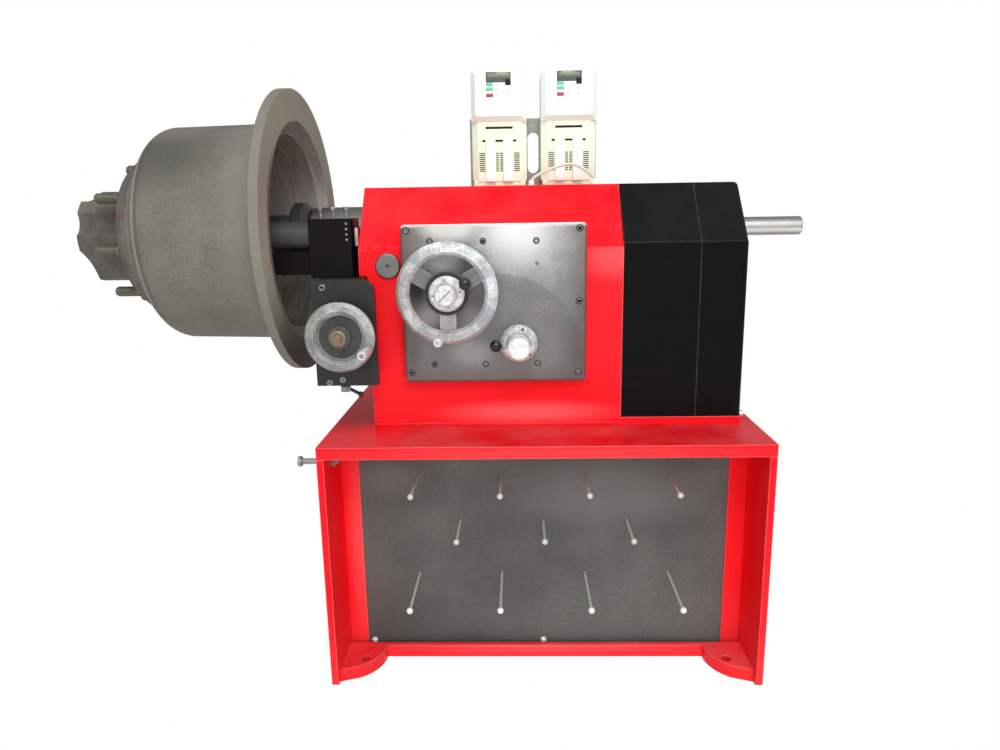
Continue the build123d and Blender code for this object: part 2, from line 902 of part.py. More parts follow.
# Truck drum, hub and clamping
def brake_drum():
    """Cast drum: flange, body, rounded shoulder and end wall, turned in one piece."""
    back = drum_face - drum_flange_thickness
    inner_end = drum_end + drum_end_wall
    chord = math.hypot(drum_shoulder_length, drum_shoulder_drop)
    shoulder_start = (drum_shoulder_x, drum_body_end_radius)
    shoulder_middle = (
        drum_shoulder_x - drum_shoulder_length / 2 - drum_shoulder_bulge * drum_shoulder_drop / chord,
        drum_end_radius + drum_shoulder_drop / 2 + drum_shoulder_bulge * drum_shoulder_length / chord,
    )
    outline = Polyline(
        (drum_end, drum_end_radius), (drum_end, drum_pilot_radius), (inner_end, drum_pilot_radius),
        (inner_end, drum_end_radius - drum_wall), (drum_shoulder_x, drum_friction_radius),
        (back, drum_friction_radius), (drum_face, drum_mouth_radius), (drum_face, drum_flange_radius),
        (back, drum_flange_radius), (back, drum_body_radius), shoulder_start,
    )
    shoulder = ThreePointArc(shoulder_start, shoulder_middle, (drum_end, drum_end_radius))
    face = make_face(outline.edges() + shoulder.edges())
    return Pos(0, spindle_y, spindle_z) * revolve(face, Axis.X)


def wheel_hub():
    """Wheel hub: lobed outer barrel, stud flange and inner snout, bored for the cones."""
    lobes = rod_x(hub_lobe_radius, hub_left, hub_flange_left, spindle_y, spindle_z)
    hollows = [(dip_phase, dip_radius, dip_centre), (valley_phase, valley_radius, valley_centre)]
    for phase, radius, centre in hollows:
        for step in range(lobe_count):
            y, z = around(phase + step * 360 / lobe_count, centre)
            lobes -= rod_x(radius, hub_left, hub_flange_left, spindle_y + y, spindle_z + z)
    hub = lobes + turned_x([
        (hub_flange_left, 0), (hub_flange_left, hub_flange_radius - hub_flange_slope_drop),
        (hub_flange_left + hub_flange_slope_run, hub_flange_radius),
        (drum_end, hub_flange_radius), (drum_end, 0),
    ], spindle_y, spindle_z)
    pilot = drum_pilot_radius - cone_seat
    hub += turned_x([
        (drum_end, 0), (drum_end, pilot), (drum_end + drum_end_wall, pilot),
        (drum_end + 2 * drum_end_wall, hub_snout_radius), (hub_right, hub_snout_radius), (hub_right, 0),
    ], spindle_y, spindle_z)
    hub -= rod_x(hub_bore, hub_left, hub_right, spindle_y, spindle_z)
    hub -= rod_x(hub_counterbore, hub_left, hub_left + hub_counterbore_depth, spindle_y, spindle_z)
    hub -= cone_at(hub_right, 1, cone_seat)
    return hub - cone_at(hub_left + hub_counterbore_depth, -1, cone_seat)


def cone_at(edge, sign, grow):
    """Centring cone on the arbor whose mid radius lies at the bore's edge; sign gives its wide side."""
    slope = (cone_big - cone_small) / cone_length
    to_bore = (hub_bore - cone_small) / slope
    narrow = edge - sign * (to_bore - 2 * grow)
    wide = narrow + sign * cone_length
    return turned_x([
        (narrow, arbor_radius), (narrow, cone_small + grow), (wide, cone_big + grow), (wide, arbor_radius),
    ], spindle_y, spindle_z)


def centring_cones():
    """The two cones that centre the hub on the arbor."""
    return group([cone_at(hub_right, 1, 0), cone_at(hub_left + hub_counterbore_depth, -1, 0)])


def arbor_nut():
    """Hexagon nut on the arbor that draws the outer cone in."""
    slope = (cone_big - cone_small) / cone_length
    wide = hub_left + hub_counterbore_depth + (hub_bore - cone_small) / slope - cone_length
    nut = hexagon_x(arbor_nut_across_flats, wide - arbor_nut_length, wide, spindle_y, spindle_z)
    return nut - rod_x(arbor_radius, wide - arbor_nut_length, wide, spindle_y, spindle_z)


def wheel_studs():
    """Wheel studs around the hub's flange; the one nearest the top stands out less than the others."""
    places = [around(stud_phase + step * 360 / stud_count, stud_circle / 2) for step in range(stud_count)]
    top_place = max(places, key=lambda place: place[1])
    studs = []
    for place in places:
        length = short_stud_length if place == top_place else stud_length
        y, z = spindle_y + place[0], spindle_z + place[1]
        studs.append(rod_x(stud_radius, hub_flange_left - length, hub_flange_left, y, z))
    return group(studs)


# Feed
def feed_shaft():
    """Handwheel shaft with the pinion that drives the rack, and the feed pulley's seat."""
    half = gear_width / 2
    shaft = rod_y(feed_shaft_radius, wheel_front - dial_depth + turning_gap, spindle_y + half, feed_x, feed_z)
    step = 360 / pinion_teeth
    lean = math.tan(math.radians(flank_angle))
    half_pitch = math.degrees(tooth_share * rack_pitch / 2 / pitch_radius)
    half_tip = math.degrees((tooth_share * rack_pitch / 2 - gear_module * lean) / (pitch_radius + gear_module))
    half_root = half_pitch + math.degrees(gear_module * lean / pitch_radius)
    outline = []
    for tooth in range(pinion_teeth):
        middle = rack_side + (tooth + 0.5) * step
        outline.append(around(middle - half_root, pitch_radius - root_share * gear_module))
        outline.append(around(middle - half_tip, pitch_radius + gear_module))
        outline.append(around(middle + half_tip, pitch_radius + gear_module))
        outline.append(around(middle + half_root, pitch_radius - root_share * gear_module))
    seat = Plane(origin=(feed_x, spindle_y + half, feed_z), x_dir=(1, 0, 0), z_dir=(0, -1, 0))
    return shaft + prism(seat, outline, gear_width)


def feed_bush():
    """Long bush of the handwheel shaft, through the control plate."""
    outer = rod_y(feed_shaft_radius + feed_bush_wall, plate_front, feed_bush_back, feed_x, feed_z)
    return outer - rod_y(feed_shaft_radius + running_fit, plate_front, feed_bush_back, feed_x, feed_z)


def belt_pulley(radius, bore, y0, x, z):
    """Flanged flat-belt pulley on a Y shaft."""
    rim = feed_belt_thickness
    y1 = y0 + feed_belt_width
    pulley = turned_y([
        (y0 - rim / 2, bore), (y0 - rim / 2, radius + rim / 2), (y0 - turning_gap, radius + rim / 2),
        (y0 - turning_gap, radius), (y1 + turning_gap, radius), (y1 + turning_gap, radius + rim / 2),
        (y1 + rim / 2, radius + rim / 2), (y1 + rim / 2, bore),
    ], x, z)
    return pulley


def feed_pulley():
    """Pulley of the power feed on the handwheel shaft."""
    y0 = feed_belt_y - feed_belt_width / 2
    return belt_pulley(feed_pulley_radius, feed_shaft_radius, y0, feed_x, feed_z)


def feed_motor_pulley():
    """Small pulley and shaft of the feed motor."""
    y0 = feed_belt_y - feed_belt_width / 2
    pulley = belt_pulley(feed_motor_pulley_radius, 0, y0, feed_motor_x, feed_motor_z)
    face = y0 + feed_belt_width + feed_motor_gap
    return pulley + rod_y(feed_motor_shaft, y0, face, feed_motor_x, feed_motor_z)


def belt_loop(seat, first, second, gap, thickness, width):
    """Endless belt around two round pulleys, given as (x, y, radius) on the seat plane."""
    rings = []
    for grow in (gap + thickness, gap):
        edges = [Pos(x, y) * Edge.make_circle(radius + grow) for x, y, radius in (first, second)]
        rings.append(make_hull(edges))
    return extrude(seat * (rings[0] - rings[1]), amount=width, dir=seat.z_dir)


def feed_belt():
    """Flat belt from the feed motor to the handwheel shaft."""
    seat = Plane(origin=(0, feed_belt_y + feed_belt_width / 2, 0), x_dir=(1, 0, 0), z_dir=(0, -1, 0))
    return belt_loop(
        seat, (feed_x, feed_z, feed_pulley_radius), (feed_motor_x, feed_motor_z, feed_motor_pulley_radius),
        turning_gap, feed_belt_thickness, feed_belt_width,
    )


def feed_motor():
    """Feed motor on its pedestal, behind its pulley."""
    y0 = feed_belt_y + feed_belt_width / 2 + feed_motor_gap
    y1 = y0 + feed_motor_length
    bell = casing_wall
    body = turned_y([
        (y0, 0), (y0, feed_motor_radius - bell), (y0 + bell, feed_motor_radius),
        (y1 - bell, feed_motor_radius), (y1, feed_motor_radius - bell), (y1, 0),
    ], feed_motor_x, feed_motor_z)
    half = feed_motor_radius - bell
    foot = block(feed_motor_x - half, feed_motor_x + half, y0 + bell, y1 - bell, base_top, feed_motor_z)
    body += foot
    return body - rod_y(feed_motor_shaft + running_fit, y0, y0 + bell, feed_motor_x, feed_motor_z)


def grip_place():
    """Crank grip's x and z on the feed handwheel."""
    dx, dz = around(grip_angle, grip_offset)
    return feed_x + dx, feed_z + dz


def feed_handwheel():
    """Three-spoke handwheel with a round rim, a stepped hub and the crank grip's pin."""
    rim_mid = (wheel_radius + wheel_opening) / 2
    half = (wheel_radius - wheel_opening) / 2
    edge = half / 2
    rim = turned_y([
        (wheel_front + edge, wheel_opening), (wheel_front, wheel_opening + edge),
        (wheel_front, wheel_radius - edge), (wheel_front + edge, wheel_radius),
        (wheel_back - edge, wheel_radius), (wheel_back, wheel_radius - edge),
        (wheel_back, wheel_opening + edge), (wheel_back - edge, wheel_opening),
    ], feed_x, feed_z)
    spoke_back = wheel_back + turning_gap
    hub_front = wheel_front + dial_depth / 2
    neck = (wheel_back + plate_front) / 2
    hub_back = plate_front - turning_gap
    hub = turned_y([
        (hub_front, feed_shaft_radius), (hub_front, wheel_hub_radius), (neck, wheel_hub_radius),
        (hub_back, feed_shaft_radius + feed_bush_wall), (hub_back, feed_shaft_radius),
    ], feed_x, feed_z)
    wheel = rim + hub
    for step in range(spoke_count):
        spoke_front = spoke_back - spoke_thickness
        spoke = block(0, rim_mid, spoke_front, spoke_back, -spoke_width / 2, spoke_width / 2)
        spoke -= rod_y(wheel_hub_radius - edge, spoke_front, spoke_back, 0, 0)
        wheel += Pos(feed_x, 0, feed_z) * Rot(0, -first_spoke - step * 360 / spoke_count, 0) * spoke
    x, z = grip_place()
    return wheel + rod_y(grip_pin, wheel_front - grip_length, wheel_front + edge, x, z)


def crank_grip(x, z, front, length):
    """Turning grip with a barrel shape on a crank pin."""
    y0 = front - length
    bore = grip_pin + running_fit
    return turned_y([
        (y0, bore), (y0, grip_waist), (y0 + grip_nose, grip_radius), (front - grip_neck, grip_radius),
        (front - turning_gap, grip_waist), (front - turning_gap, bore),
    ], x, z)


def feed_grip():
    """Crank grip of the feed handwheel."""
    x, z = grip_place()
    return crank_grip(x, z, wheel_front, grip_length)


def ball_lever(x, z, angle, reach, foot_reach, foot_y, rise):
    """Stem with a ball, leaning out from a round dial towards the operator."""
    dx, dz = around(angle, foot_reach)
    ex, ez = around(angle, reach)
    foot = (x + dx, foot_y, z + dz)
    end = (x + ex, foot_y - rise, z + ez)
    return rod_between(foot, end, lever_stem) + Pos(*end) * Sphere(lever_ball)


def clutch_dial():
    """Clutch dial in the handwheel's hub with its ball lever."""
    y0 = wheel_front - dial_depth / 2
    y1 = wheel_front + dial_depth / 2 - turning_gap
    rim = dial_depth / 4
    bore = feed_shaft_radius + running_fit
    dial = turned_y([
        (y0, bore), (y0, dial_radius - rim), (y0 + rim, dial_radius), (y1, dial_radius), (y1, bore),
    ], feed_x, feed_z)
    foot = dial_radius - rim
    return dial + ball_lever(feed_x, feed_z, lever_angle, lever_reach, foot, y0 + rim, lever_ball * 2)


def clutch_knob():
    """Slotted knob on the end of the handwheel shaft."""
    y1 = wheel_front - dial_depth / 2 - turning_gap
    y0 = y1 - knob_reach
    rim = lever_stem
    bore = feed_shaft_radius + turning_gap
    floor = y1 - dial_depth / 2
    knob = turned_y([
        (y0, 0), (y0, knob_radius - rim), (y0 + rim, knob_radius), (y1, knob_radius),
        (y1, bore), (floor, bore), (floor, 0),
    ], feed_x, feed_z)
    return knob - block(
        feed_x - knob_radius, feed_x + knob_radius, y0, y0 + rim, feed_z - rim / 2, feed_z + rim / 2
    )


def selector_dial():
    """Feed selector's collar on the plate, with its ball lever."""
    y0 = plate_front - turning_gap - selector_depth
    y1 = plate_front - turning_gap
    rim = selector_depth / 4
    dial = turned_y([
        (y0, selector_shaft + running_fit), (y0, selector_radius - rim), (y0 + rim, selector_radius),
        (y1, selector_radius), (y1, selector_shaft + running_fit),
    ], selector_x, selector_z)
    foot = selector_radius - rim
    return dial + ball_lever(
        selector_x, selector_z, selector_lever_angle, selector_lever_reach, foot, y0 + rim, lever_ball * 2
    )


def selector_knob():
    """Knob of the feed selector on its shaft through the plate."""
    y1 = plate_front - 2 * turning_gap - selector_depth
    y0 = y1 - selector_knob_reach
    rim = lever_stem
    knob = turned_y([
        (y0, 0), (y0, selector_knob_radius - rim), (y0 + rim, selector_knob_radius),
        (y1, selector_knob_radius), (y1, 0),
    ], selector_x, selector_z)
    return knob + rod_y(selector_shaft, y1, head_front + casing_wall, selector_x, selector_z)


# Spindle drive
def drive_motor():
    """Spindle motor with its foot, inside the casing."""
    bell = 2 * casing_wall
    body = turned_x([
        (motor_left, 0), (motor_left, motor_radius - bell), (motor_left + bell, motor_radius),
        (motor_right - bell, motor_radius), (motor_right, motor_radius - bell), (motor_right, 0),
    ], motor_y, motor_z)
    half = motor_foot_width / 2
    foot = (motor_left + bell, motor_right - bell, motor_y - half, motor_y + half)
    body += block(*foot, base_top, motor_z - half)
    return body - rod_x(motor_shaft + running_fit, motor_right - bell, motor_right, motor_y, motor_z)


def grooved_rim(radius, bore, y, z):
    """Pulley rim with one wide belt groove on an X shaft."""
    half = pulley_width / 2
    slot = belt_width / 2 + turning_gap
    lip = radius + belt_thickness / 2
    return turned_x([
        (belt_x - half, bore), (belt_x - half, lip), (belt_x - slot, lip), (belt_x - slot, radius),
        (belt_x + slot, radius), (belt_x + slot, lip), (belt_x + half, lip), (belt_x + half, bore),
    ], y, z)


def drive_pulley():
    """Driven pulley on its hub, keyed to the sliding spindle tail."""
    hub = rod_x(pulley_hub_radius, bracket_x, belt_x + pulley_width, spindle_y, spindle_z)
    pulley = hub + grooved_rim(drive_pulley_radius, pulley_hub_radius, spindle_y, spindle_z)
    return pulley - rod_x(tail_radius + running_fit, bracket_x, belt_x + pulley_width, spindle_y, spindle_z)


def motor_pulley():
    """Motor shaft with its pulley."""
    shaft = rod_x(motor_shaft, motor_right - 2 * casing_wall, belt_x + pulley_width / 2, motor_y, motor_z)
    return shaft + grooved_rim(motor_pulley_radius, motor_shaft, motor_y, motor_z)


def drive_belt():
    """Belt from the motor to the spindle pulley."""
    seat = Plane(origin=(belt_x - belt_width / 2, 0, 0), x_dir=(0, 1, 0), z_dir=(1, 0, 0))
    return belt_loop(
        seat, (spindle_y, spindle_z, drive_pulley_radius), (motor_y, motor_z, motor_pulley_radius),
        turning_gap, belt_thickness, belt_width,
    )


def pulley_bracket():
    """Bracket on the head's base that carries the pulley's bearing."""
    x1 = bracket_x + bracket_thickness
    half = bracket_half_width
    plate = block(bracket_x, x1, spindle_y - half, spindle_y + half, base_top, spindle_z)
    plate += rod_x(half, bracket_x, x1, spindle_y, spindle_z)
    plate -= rod_x(motor_shaft + casing_wall, bracket_x, x1, motor_y, motor_z)
    return plate - rod_x(pulley_bearing_radius, bracket_x, x1, spindle_y, spindle_z)


def pulley_bearing():
    """Bearing of the driven pulley's hub."""
    x1 = bracket_x + bracket_thickness
    ring = rod_x(pulley_bearing_radius, bracket_x, x1, spindle_y, spindle_z)
    return ring - rod_x(pulley_hub_radius + running_fit, bracket_x, x1, spindle_y, spindle_z)


# Cross-slide
def dovetail(neck, head, low, high, y0, y1):
    """Dovetail bar along Y."""
    points = [
        (dovetail_x - neck, low), (dovetail_x + neck, low),
        (dovetail_x + head, high), (dovetail_x - head, high),
    ]
    seat = Plane(origin=(0, y1, 0), x_dir=(1, 0, 0), z_dir=(0, -1, 0))
    return prism(seat, points, y1 - y0)


def cross_slide_base():
    """Housing bolted to the head's left wall, with the dovetail way and the screw's slot."""
    y0 = slide_plate_back
    y1 = slide_base_back
    base = block(slide_left, slide_right, y0, y1, slide_low, slide_base_top)
    base += dovetail(dovetail_neck, dovetail_head, slide_base_top, dovetail_top, y0, y1)
    wall = slide_base_wall
    base -= block(slide_left + wall, slide_right - wall, y0 + wall, y1 - wall, slide_low, slide_pocket_top)
    floor = screw_z - nut_drop - slide_wall_gap
    base -= block(screw_x - screw_slot, screw_x + screw_slot, y0 + wall, y1 - wall, floor, dovetail_top)
    base -= rod_y(screw_radius + running_fit, y0, y1, screw_x, screw_z)
    return base - rod_z(lock_pin + running_fit, slide_low, slide_low + lock_pin_length, lock_x, lock_y)


def cross_slide_plate():
    """Front plate of the cross-slide with one large rounded corner."""
    plate = block(
        slide_left, slide_plate_right, slide_plate_front, slide_plate_back, slide_low, slide_plate_high
    )
    corner = plate.edges().filter_by(Axis.Y).sort_by_distance((slide_plate_right, 0, slide_plate_high))[0]
    plate = fillet(corner, slide_plate_corner)
    return plate - rod_y(screw_radius + running_fit, slide_plate_front, slide_plate_back, screw_x, screw_z)


def cross_carriage():
    """Carriage on the dovetail way that carries the tool post."""
    right = slide_right - slide_wall_gap
    carriage = block(slide_left, right, carriage_front, carriage_back, carriage_under, carriage_top)
    return carriage - dovetail(
        dovetail_neck + slide_fit, dovetail_head + slide_fit, slide_base_top, dovetail_top + slide_fit,
        carriage_front, carriage_back,
    )


def cross_nut():
    """Nut under the carriage that rides on the cross screw."""
    middle = (carriage_front + carriage_back) / 2
    half = screw_slot - slide_wall_gap
    nut = block(
        screw_x - half, screw_x + half, middle - nut_length / 2, middle + nut_length / 2,
        screw_z - nut_drop, dovetail_top + slide_fit,
    )
    return nut - rod_y(screw_radius + running_fit, middle - nut_length, middle + nut_length, screw_x, screw_z)


def cross_screw():
    """Cross-feed screw through the front plate, the nut and the base's far wall."""
    return rod_y(screw_radius, cross_wheel_front, slide_base_back, screw_x, screw_z)


def cross_end_nut():
    """Nut that holds the handwheel on the cross screw."""
    y1 = cross_wheel_front
    edge = cross_nut_length / 4
    return turned_y([
        (y1 - cross_nut_length, 0), (y1 - cross_nut_length, cross_nut_radius - edge),
        (y1 - cross_nut_length + edge, cross_nut_radius), (y1, cross_nut_radius), (y1, 0),
    ], screw_x, screw_z)


def cross_grip_place():
    """Crank grip's x and z on the cross-slide handwheel."""
    dx, dz = around(cross_grip_angle, cross_grip_offset)
    return screw_x + dx, screw_z + dz


def cross_handwheel():
    """Dished handwheel of the cross-slide with its web set back, hub and grip pin."""
    back = cross_wheel_front + cross_wheel_rim_depth
    edge = (cross_wheel_radius - cross_wheel_recess) / 4
    web = back - cross_wheel_web
    wheel = turned_y([
        (cross_wheel_front, screw_radius), (cross_wheel_front, cross_hub_radius), (web, cross_hub_radius),
        (web, cross_wheel_recess), (cross_wheel_front + edge, cross_wheel_recess),
        (cross_wheel_front, cross_wheel_recess + edge), (cross_wheel_front, cross_wheel_radius - edge),
        (cross_wheel_front + edge, cross_wheel_radius), (back - edge, cross_wheel_radius),
        (back, cross_wheel_radius - edge), (back, cross_hub_radius),
        (slide_plate_front - turning_gap, cross_hub_radius), (slide_plate_front - turning_gap, screw_radius),
    ], screw_x, screw_z)
    x, z = cross_grip_place()
    return wheel + rod_y(grip_pin, cross_wheel_front - cross_grip_length, cross_wheel_front + edge, x, z)


def cross_grip():
    """Crank grip of the cross-slide handwheel."""
    x, z = cross_grip_place()
    return crank_grip(x, z, cross_wheel_front, cross_grip_length)


def slide_lock():
    """Small lock lever under the cross-slide."""
    hub = rod_z(lock_radius, slide_low - turning_gap - lock_drop, slide_low - turning_gap, lock_x, lock_y)
    pin = rod_z(lock_pin, slide_low - turning_gap, slide_low + lock_pin_length - turning_gap, lock_x, lock_y)
    low = slide_low - turning_gap - lock_drop / 2
    end = (lock_x + lock_reach, lock_y, low - lock_fall)
    return hub + pin + rod_between((lock_x, lock_y, low), end, lock_rod) + Pos(*end) * Sphere(lock_ball)


# Tool post
def clamp_screw_places():
    """The x of each clamp screw on the tool post."""
    middle = (post_left + post_right) / 2
    for step in range(clamp_screw_count):
        yield middle + (step - (clamp_screw_count - 1) / 2) * clamp_screw_pitch


def tool_post():
    """Tool block on the carriage, bored for the arm, with a ledge below it on the drum's side."""
    post = block(post_left, post_right, post_front, post_back, post_low, post_high)
    ledge_low = post_low + ledge_rise
    post += block(
        post_left - ledge_reach, post_left, arm_y - ledge_width / 2, arm_y + ledge_width / 2,
        ledge_low, ledge_low + ledge_height,
    )
    post -= rod_x(arm_radius, post_left, arm_right, arm_y, arm_z)
    for x in clamp_screw_places():
        post -= rod_z(clamp_screw_radius, arm_z, post_high, x, arm_y)
    return post


def clamp_screws():
    """Clamp screws from the post's top down to the arm."""
    screws = []
    for x in clamp_screw_places():
        screw = rod_z(clamp_screw_radius, arm_z + arm_radius, post_high, x, arm_y)
        screws.append(screw + rod_z(clamp_screw_head, post_high, post_high + clamp_screw_rise, x, arm_y))
    return group(screws)


def tool_arm():
    """Round boring bar that reaches into the drum, with a slot for the bit near its end."""
    arm = rod_x(arm_radius, arm_left, arm_right, arm_y, arm_z)
    x, z = bit_place()
    half = bit_width / 2
    return arm - block(x - half, x + half, arm_y - arm_radius, arm_y + bit_back, z - half, z + half)


def bit_place():
    """The tool bit's x and z in the arm."""
    return arm_left + bit_width, arm_z


def tool_bit():
    """Cutting bit with a pointed tip towards the drum's wall."""
    x, z = bit_place()
    half = bit_width / 2
    tip = arm_y - arm_radius - bit_reach
    points = [
        (x - half, arm_y + bit_back), (x - half, tip + bit_tip), (x - half + bit_tip / 2, tip),
        (x + half, tip + 2 * bit_tip), (x + half, arm_y + bit_back),
    ]
    seat = Plane(origin=(0, 0, z - half), x_dir=(1, 0, 0), z_dir=(0, 0, 1))
    return prism(seat, points, bit_width)


# Motor drives and leads
def drive_x(index):
    """Left edge of a motor drive."""
    return drive_left_x + index * (drive_width + drive_gap)


def motor_drive(index):
    """Motor drive case: drawn-in front, sloped cheeks below, a display recess, a slot and two tongues."""
    x0 = drive_x(index)
    x1 = x0 + drive_width
    high = drive_low + drive_height
    case = block(x0, x1, drive_front + drive_shelf_depth, drive_back, drive_low, high)
    case = fillet(case.edges().filter_by(Axis.Y), drive_edge)
    face_seat = Plane(origin=(0, drive_front + drive_shelf_depth, 0), x_dir=(1, 0, 0), z_dir=(0, -1, 0))
    middle = (x0 + x1) / 2
    shelf = drive_low + drive_shelf_height
    upper_middle = (shelf + high) / 2
    wide = Pos(middle, upper_middle) * RectangleRounded(drive_width, high - shelf, drive_edge)
    face_low = shelf + drive_face_taper
    face_high = high - drive_top_taper
    slim = Pos(middle, (face_low + face_high) / 2) * RectangleRounded(
        drive_width - 2 * drive_face_taper, face_high - face_low, drive_edge
    )
    front_seat = Plane(origin=(0, drive_front, 0), x_dir=(1, 0, 0), z_dir=(0, -1, 0))
    case += loft([face_seat * wide, front_seat * slim])
    display_high = high - display_margin
    case -= block(
        middle - display_width / 2, middle + display_width / 2, drive_front, drive_front + display_recess,
        display_high - display_height, display_high,
    )
    inner = drive_front + drive_shelf_depth
    floor_seat = Plane(origin=(0, 0, drive_low), x_dir=(1, 0, 0), z_dir=(0, 0, 1))
    for edge, run in ((x0, drive_cheek), (x1, -drive_cheek)):
        corner = [(edge, inner), (edge + run, inner), (edge, inner + drive_cheek)]
        case -= prism(floor_seat, corner, drive_shelf_height)
    half = tongue_gap / 2 + tongue_width
    slot = shelf - 3 * drive_slot_height
    case -= block(middle - half, middle + half, inner, inner + display_recess, slot, slot + drive_slot_height)
    for sign in (-1, 1):
        near, far = sorted((middle + sign * tongue_gap / 2, middle + sign * half))
        case += block(near, far, inner - tongue_depth, inner, drive_low, drive_low + tongue_height)
    return case


def drive_mount():
    """Bent plate on the head's top that carries the drives, with a hand slot between them."""
    x0 = drive_x(0) - mount_margin
    x1 = drive_x(1) + drive_width + mount_margin
    plate = block(x0, x1, drive_back, drive_back + mount_thickness, head_top, head_top + mount_height)
    foot = block(x0, x1, drive_back, drive_back + mount_foot, head_top, head_top + mount_thickness)
    middle = drive_x(0) + drive_width + drive_gap / 2
    slot_z = head_top + mount_slot_rise + mount_slot_height / 2
    seat = Plane(origin=(middle, drive_back, slot_z), x_dir=(0, 0, 1), z_dir=(0, 1, 0))
    slot = extrude(seat * SlotOverall(mount_slot_height, mount_slot_width), amount=mount_thickness)
    return plate + foot - slot


def lead_glands():
    """Glands on the head's top where the lead goes in."""
    return group([
        rod_z(gland_radius, head_top, head_top + gland_height, x, lead_y) for x in (lead_left, lead_right)
    ])


def motor_lead():
    """Stiff lead that humps from one gland to the other in front of the drives."""
    points = [(lead_left + along, lead_y, head_top + up) for along, up in lead_route]
    radii = []
    for before, here, after in zip(points, points[1:], points[2:]):
        run_in = Vector(*here) - Vector(*before)
        run_out = Vector(*after) - Vector(*here)
        turn = math.radians(run_in.get_angle(run_out))
        radii.append(0.45 * min(run_in.length, run_out.length) / math.tan(turn / 2))
    print("lead radii", [round(radius, 1) for radius in radii])
    path = FilletPolyline(*points, radius=radii)
    seat = Plane(origin=points[0], z_dir=(0, 0, 1))
    tube = sweep(seat * Circle(lead_radius), path=path)
    print("lead volume share", round(tube.volume / (math.pi * lead_radius ** 2 * path.length), 4))
    return tube


def main():
    """Write every node."""
    os.makedirs("parts", exist_ok=True)
    save("stand_top", stand_top())
    save("left_side_panel", side_panel(-1))
    save("right_side_panel", side_panel(1))
    save("board_uprights", uprights())
    save("floor_frame", group([crossbars(), foot_pads()]))
    save("peg_board", peg_board())
    save("hanging_pegs", pegs())
    save("rear_panel", rear_panel())
    save("hanger_bolt", hanger_bolt())
    save("head_casing", head_casing())
    save("rear_cover", rear_cover())
    save("belt_cover", belt_cover())
    save("end_cover", end_cover())
    save("base_bolts", group([hold_down_bolts(), base_bolt()]))
    save("control_plate", control_plate())
    save("front_plug", front_plug())
    save("bronze_bushes", group([quill_bushes(), feed_bush(), tail_bush()]))
    save("quill", quill())
    save("feed_rack", feed_rack())
    save("spindle_bearings", spindle_bearings())
    save("spindle", spindle())
    save("clamp_collar", clamp_collar())
    save("brake_drum", brake_drum())
    save("wheel_hub", wheel_hub())
    save("centring_cones", centring_cones())
    save("arbor_nut", arbor_nut())
    save("wheel_studs", wheel_studs())
    save("feed_shaft", feed_shaft())
    save("feed_pulley", feed_pulley())
    save("feed_motor_pulley", feed_motor_pulley())
    save("feed_belt", feed_belt())
    save("feed_motor", feed_motor())
    save("feed_handwheel", feed_handwheel())
    save("feed_grip", feed_grip())
    save("clutch_dial", clutch_dial())
    save("clutch_knob", clutch_knob())
    save("selector_dial", selector_dial())
    save("selector_knob", selector_knob())
    save("drive_motor", drive_motor())
    save("drive_pulley", drive_pulley())
    save("motor_pulley", motor_pulley())
    save("drive_belt", drive_belt())
    save("pulley_bracket", pulley_bracket())
    save("pulley_bearing", pulley_bearing())
    save("cross_slide_base", cross_slide_base())
    save("cross_slide_plate", cross_slide_plate())
    save("cross_carriage", cross_carriage())
    save("cross_nut", cross_nut())
    save("cross_screw", cross_screw())
    save("cross_end_nut", cross_end_nut())
    save("cross_handwheel", cross_handwheel())
    save("cross_grip", cross_grip())
    save("slide_lock", slide_lock())
    save("tool_post", tool_post())
    save("clamp_screws", clamp_screws())
    save("tool_arm", tool_arm())
    save("tool_bit", tool_bit())
    save("motor_drives", group([motor_drive(0), motor_drive(1)]))
    save("drive_mount", drive_mount())
    save("motor_lead", group([motor_lead(), lead_glands()]))


main()
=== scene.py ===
import math

import bmesh
import bpy
from bpy.props import FloatProperty, FloatVectorProperty, PointerProperty
from mathutils import Matrix, Vector


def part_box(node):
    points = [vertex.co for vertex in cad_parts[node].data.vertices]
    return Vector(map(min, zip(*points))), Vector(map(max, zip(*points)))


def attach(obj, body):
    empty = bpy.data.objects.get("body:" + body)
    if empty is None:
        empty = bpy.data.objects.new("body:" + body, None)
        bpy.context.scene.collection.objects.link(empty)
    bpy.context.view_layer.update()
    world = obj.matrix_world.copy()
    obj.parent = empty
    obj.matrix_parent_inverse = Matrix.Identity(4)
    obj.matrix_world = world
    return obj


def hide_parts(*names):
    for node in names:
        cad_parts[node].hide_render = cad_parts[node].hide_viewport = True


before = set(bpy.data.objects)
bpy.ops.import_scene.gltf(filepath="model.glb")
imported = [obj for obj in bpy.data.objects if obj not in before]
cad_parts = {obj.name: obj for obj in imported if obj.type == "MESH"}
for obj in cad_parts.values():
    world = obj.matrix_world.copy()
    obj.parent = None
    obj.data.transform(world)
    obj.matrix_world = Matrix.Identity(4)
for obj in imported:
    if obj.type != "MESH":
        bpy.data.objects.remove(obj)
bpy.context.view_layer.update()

bl_info = {
    "name": "Brake lathe",
    "version": (1, 0, 0),
    "blender": (4, 5, 0),
    "location": "View3D > Sidebar > Lathe",
    "description": "Finishes and small fittings of a drum brake lathe on its stand",
    "category": "Object",
}

FULL_TURN = 2 * math.pi
FRONT = Vector((0, -1, 0))
BACK = Vector((0, 1, 0))
LEFT = Vector((-1, 0, 0))
RIGHT = Vector((1, 0, 0))
UP = Vector((0, 0, 1))

# The two directions across an axis that runs left to right, or front to back
ROUND_X = (0.0, 1.0, 1.0)
ROUND_Y = (1.0, 0.0, 1.0)


def corners(node):
    """The low and high corners of a solid's box."""
    return [Vector(corner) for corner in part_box(node)]


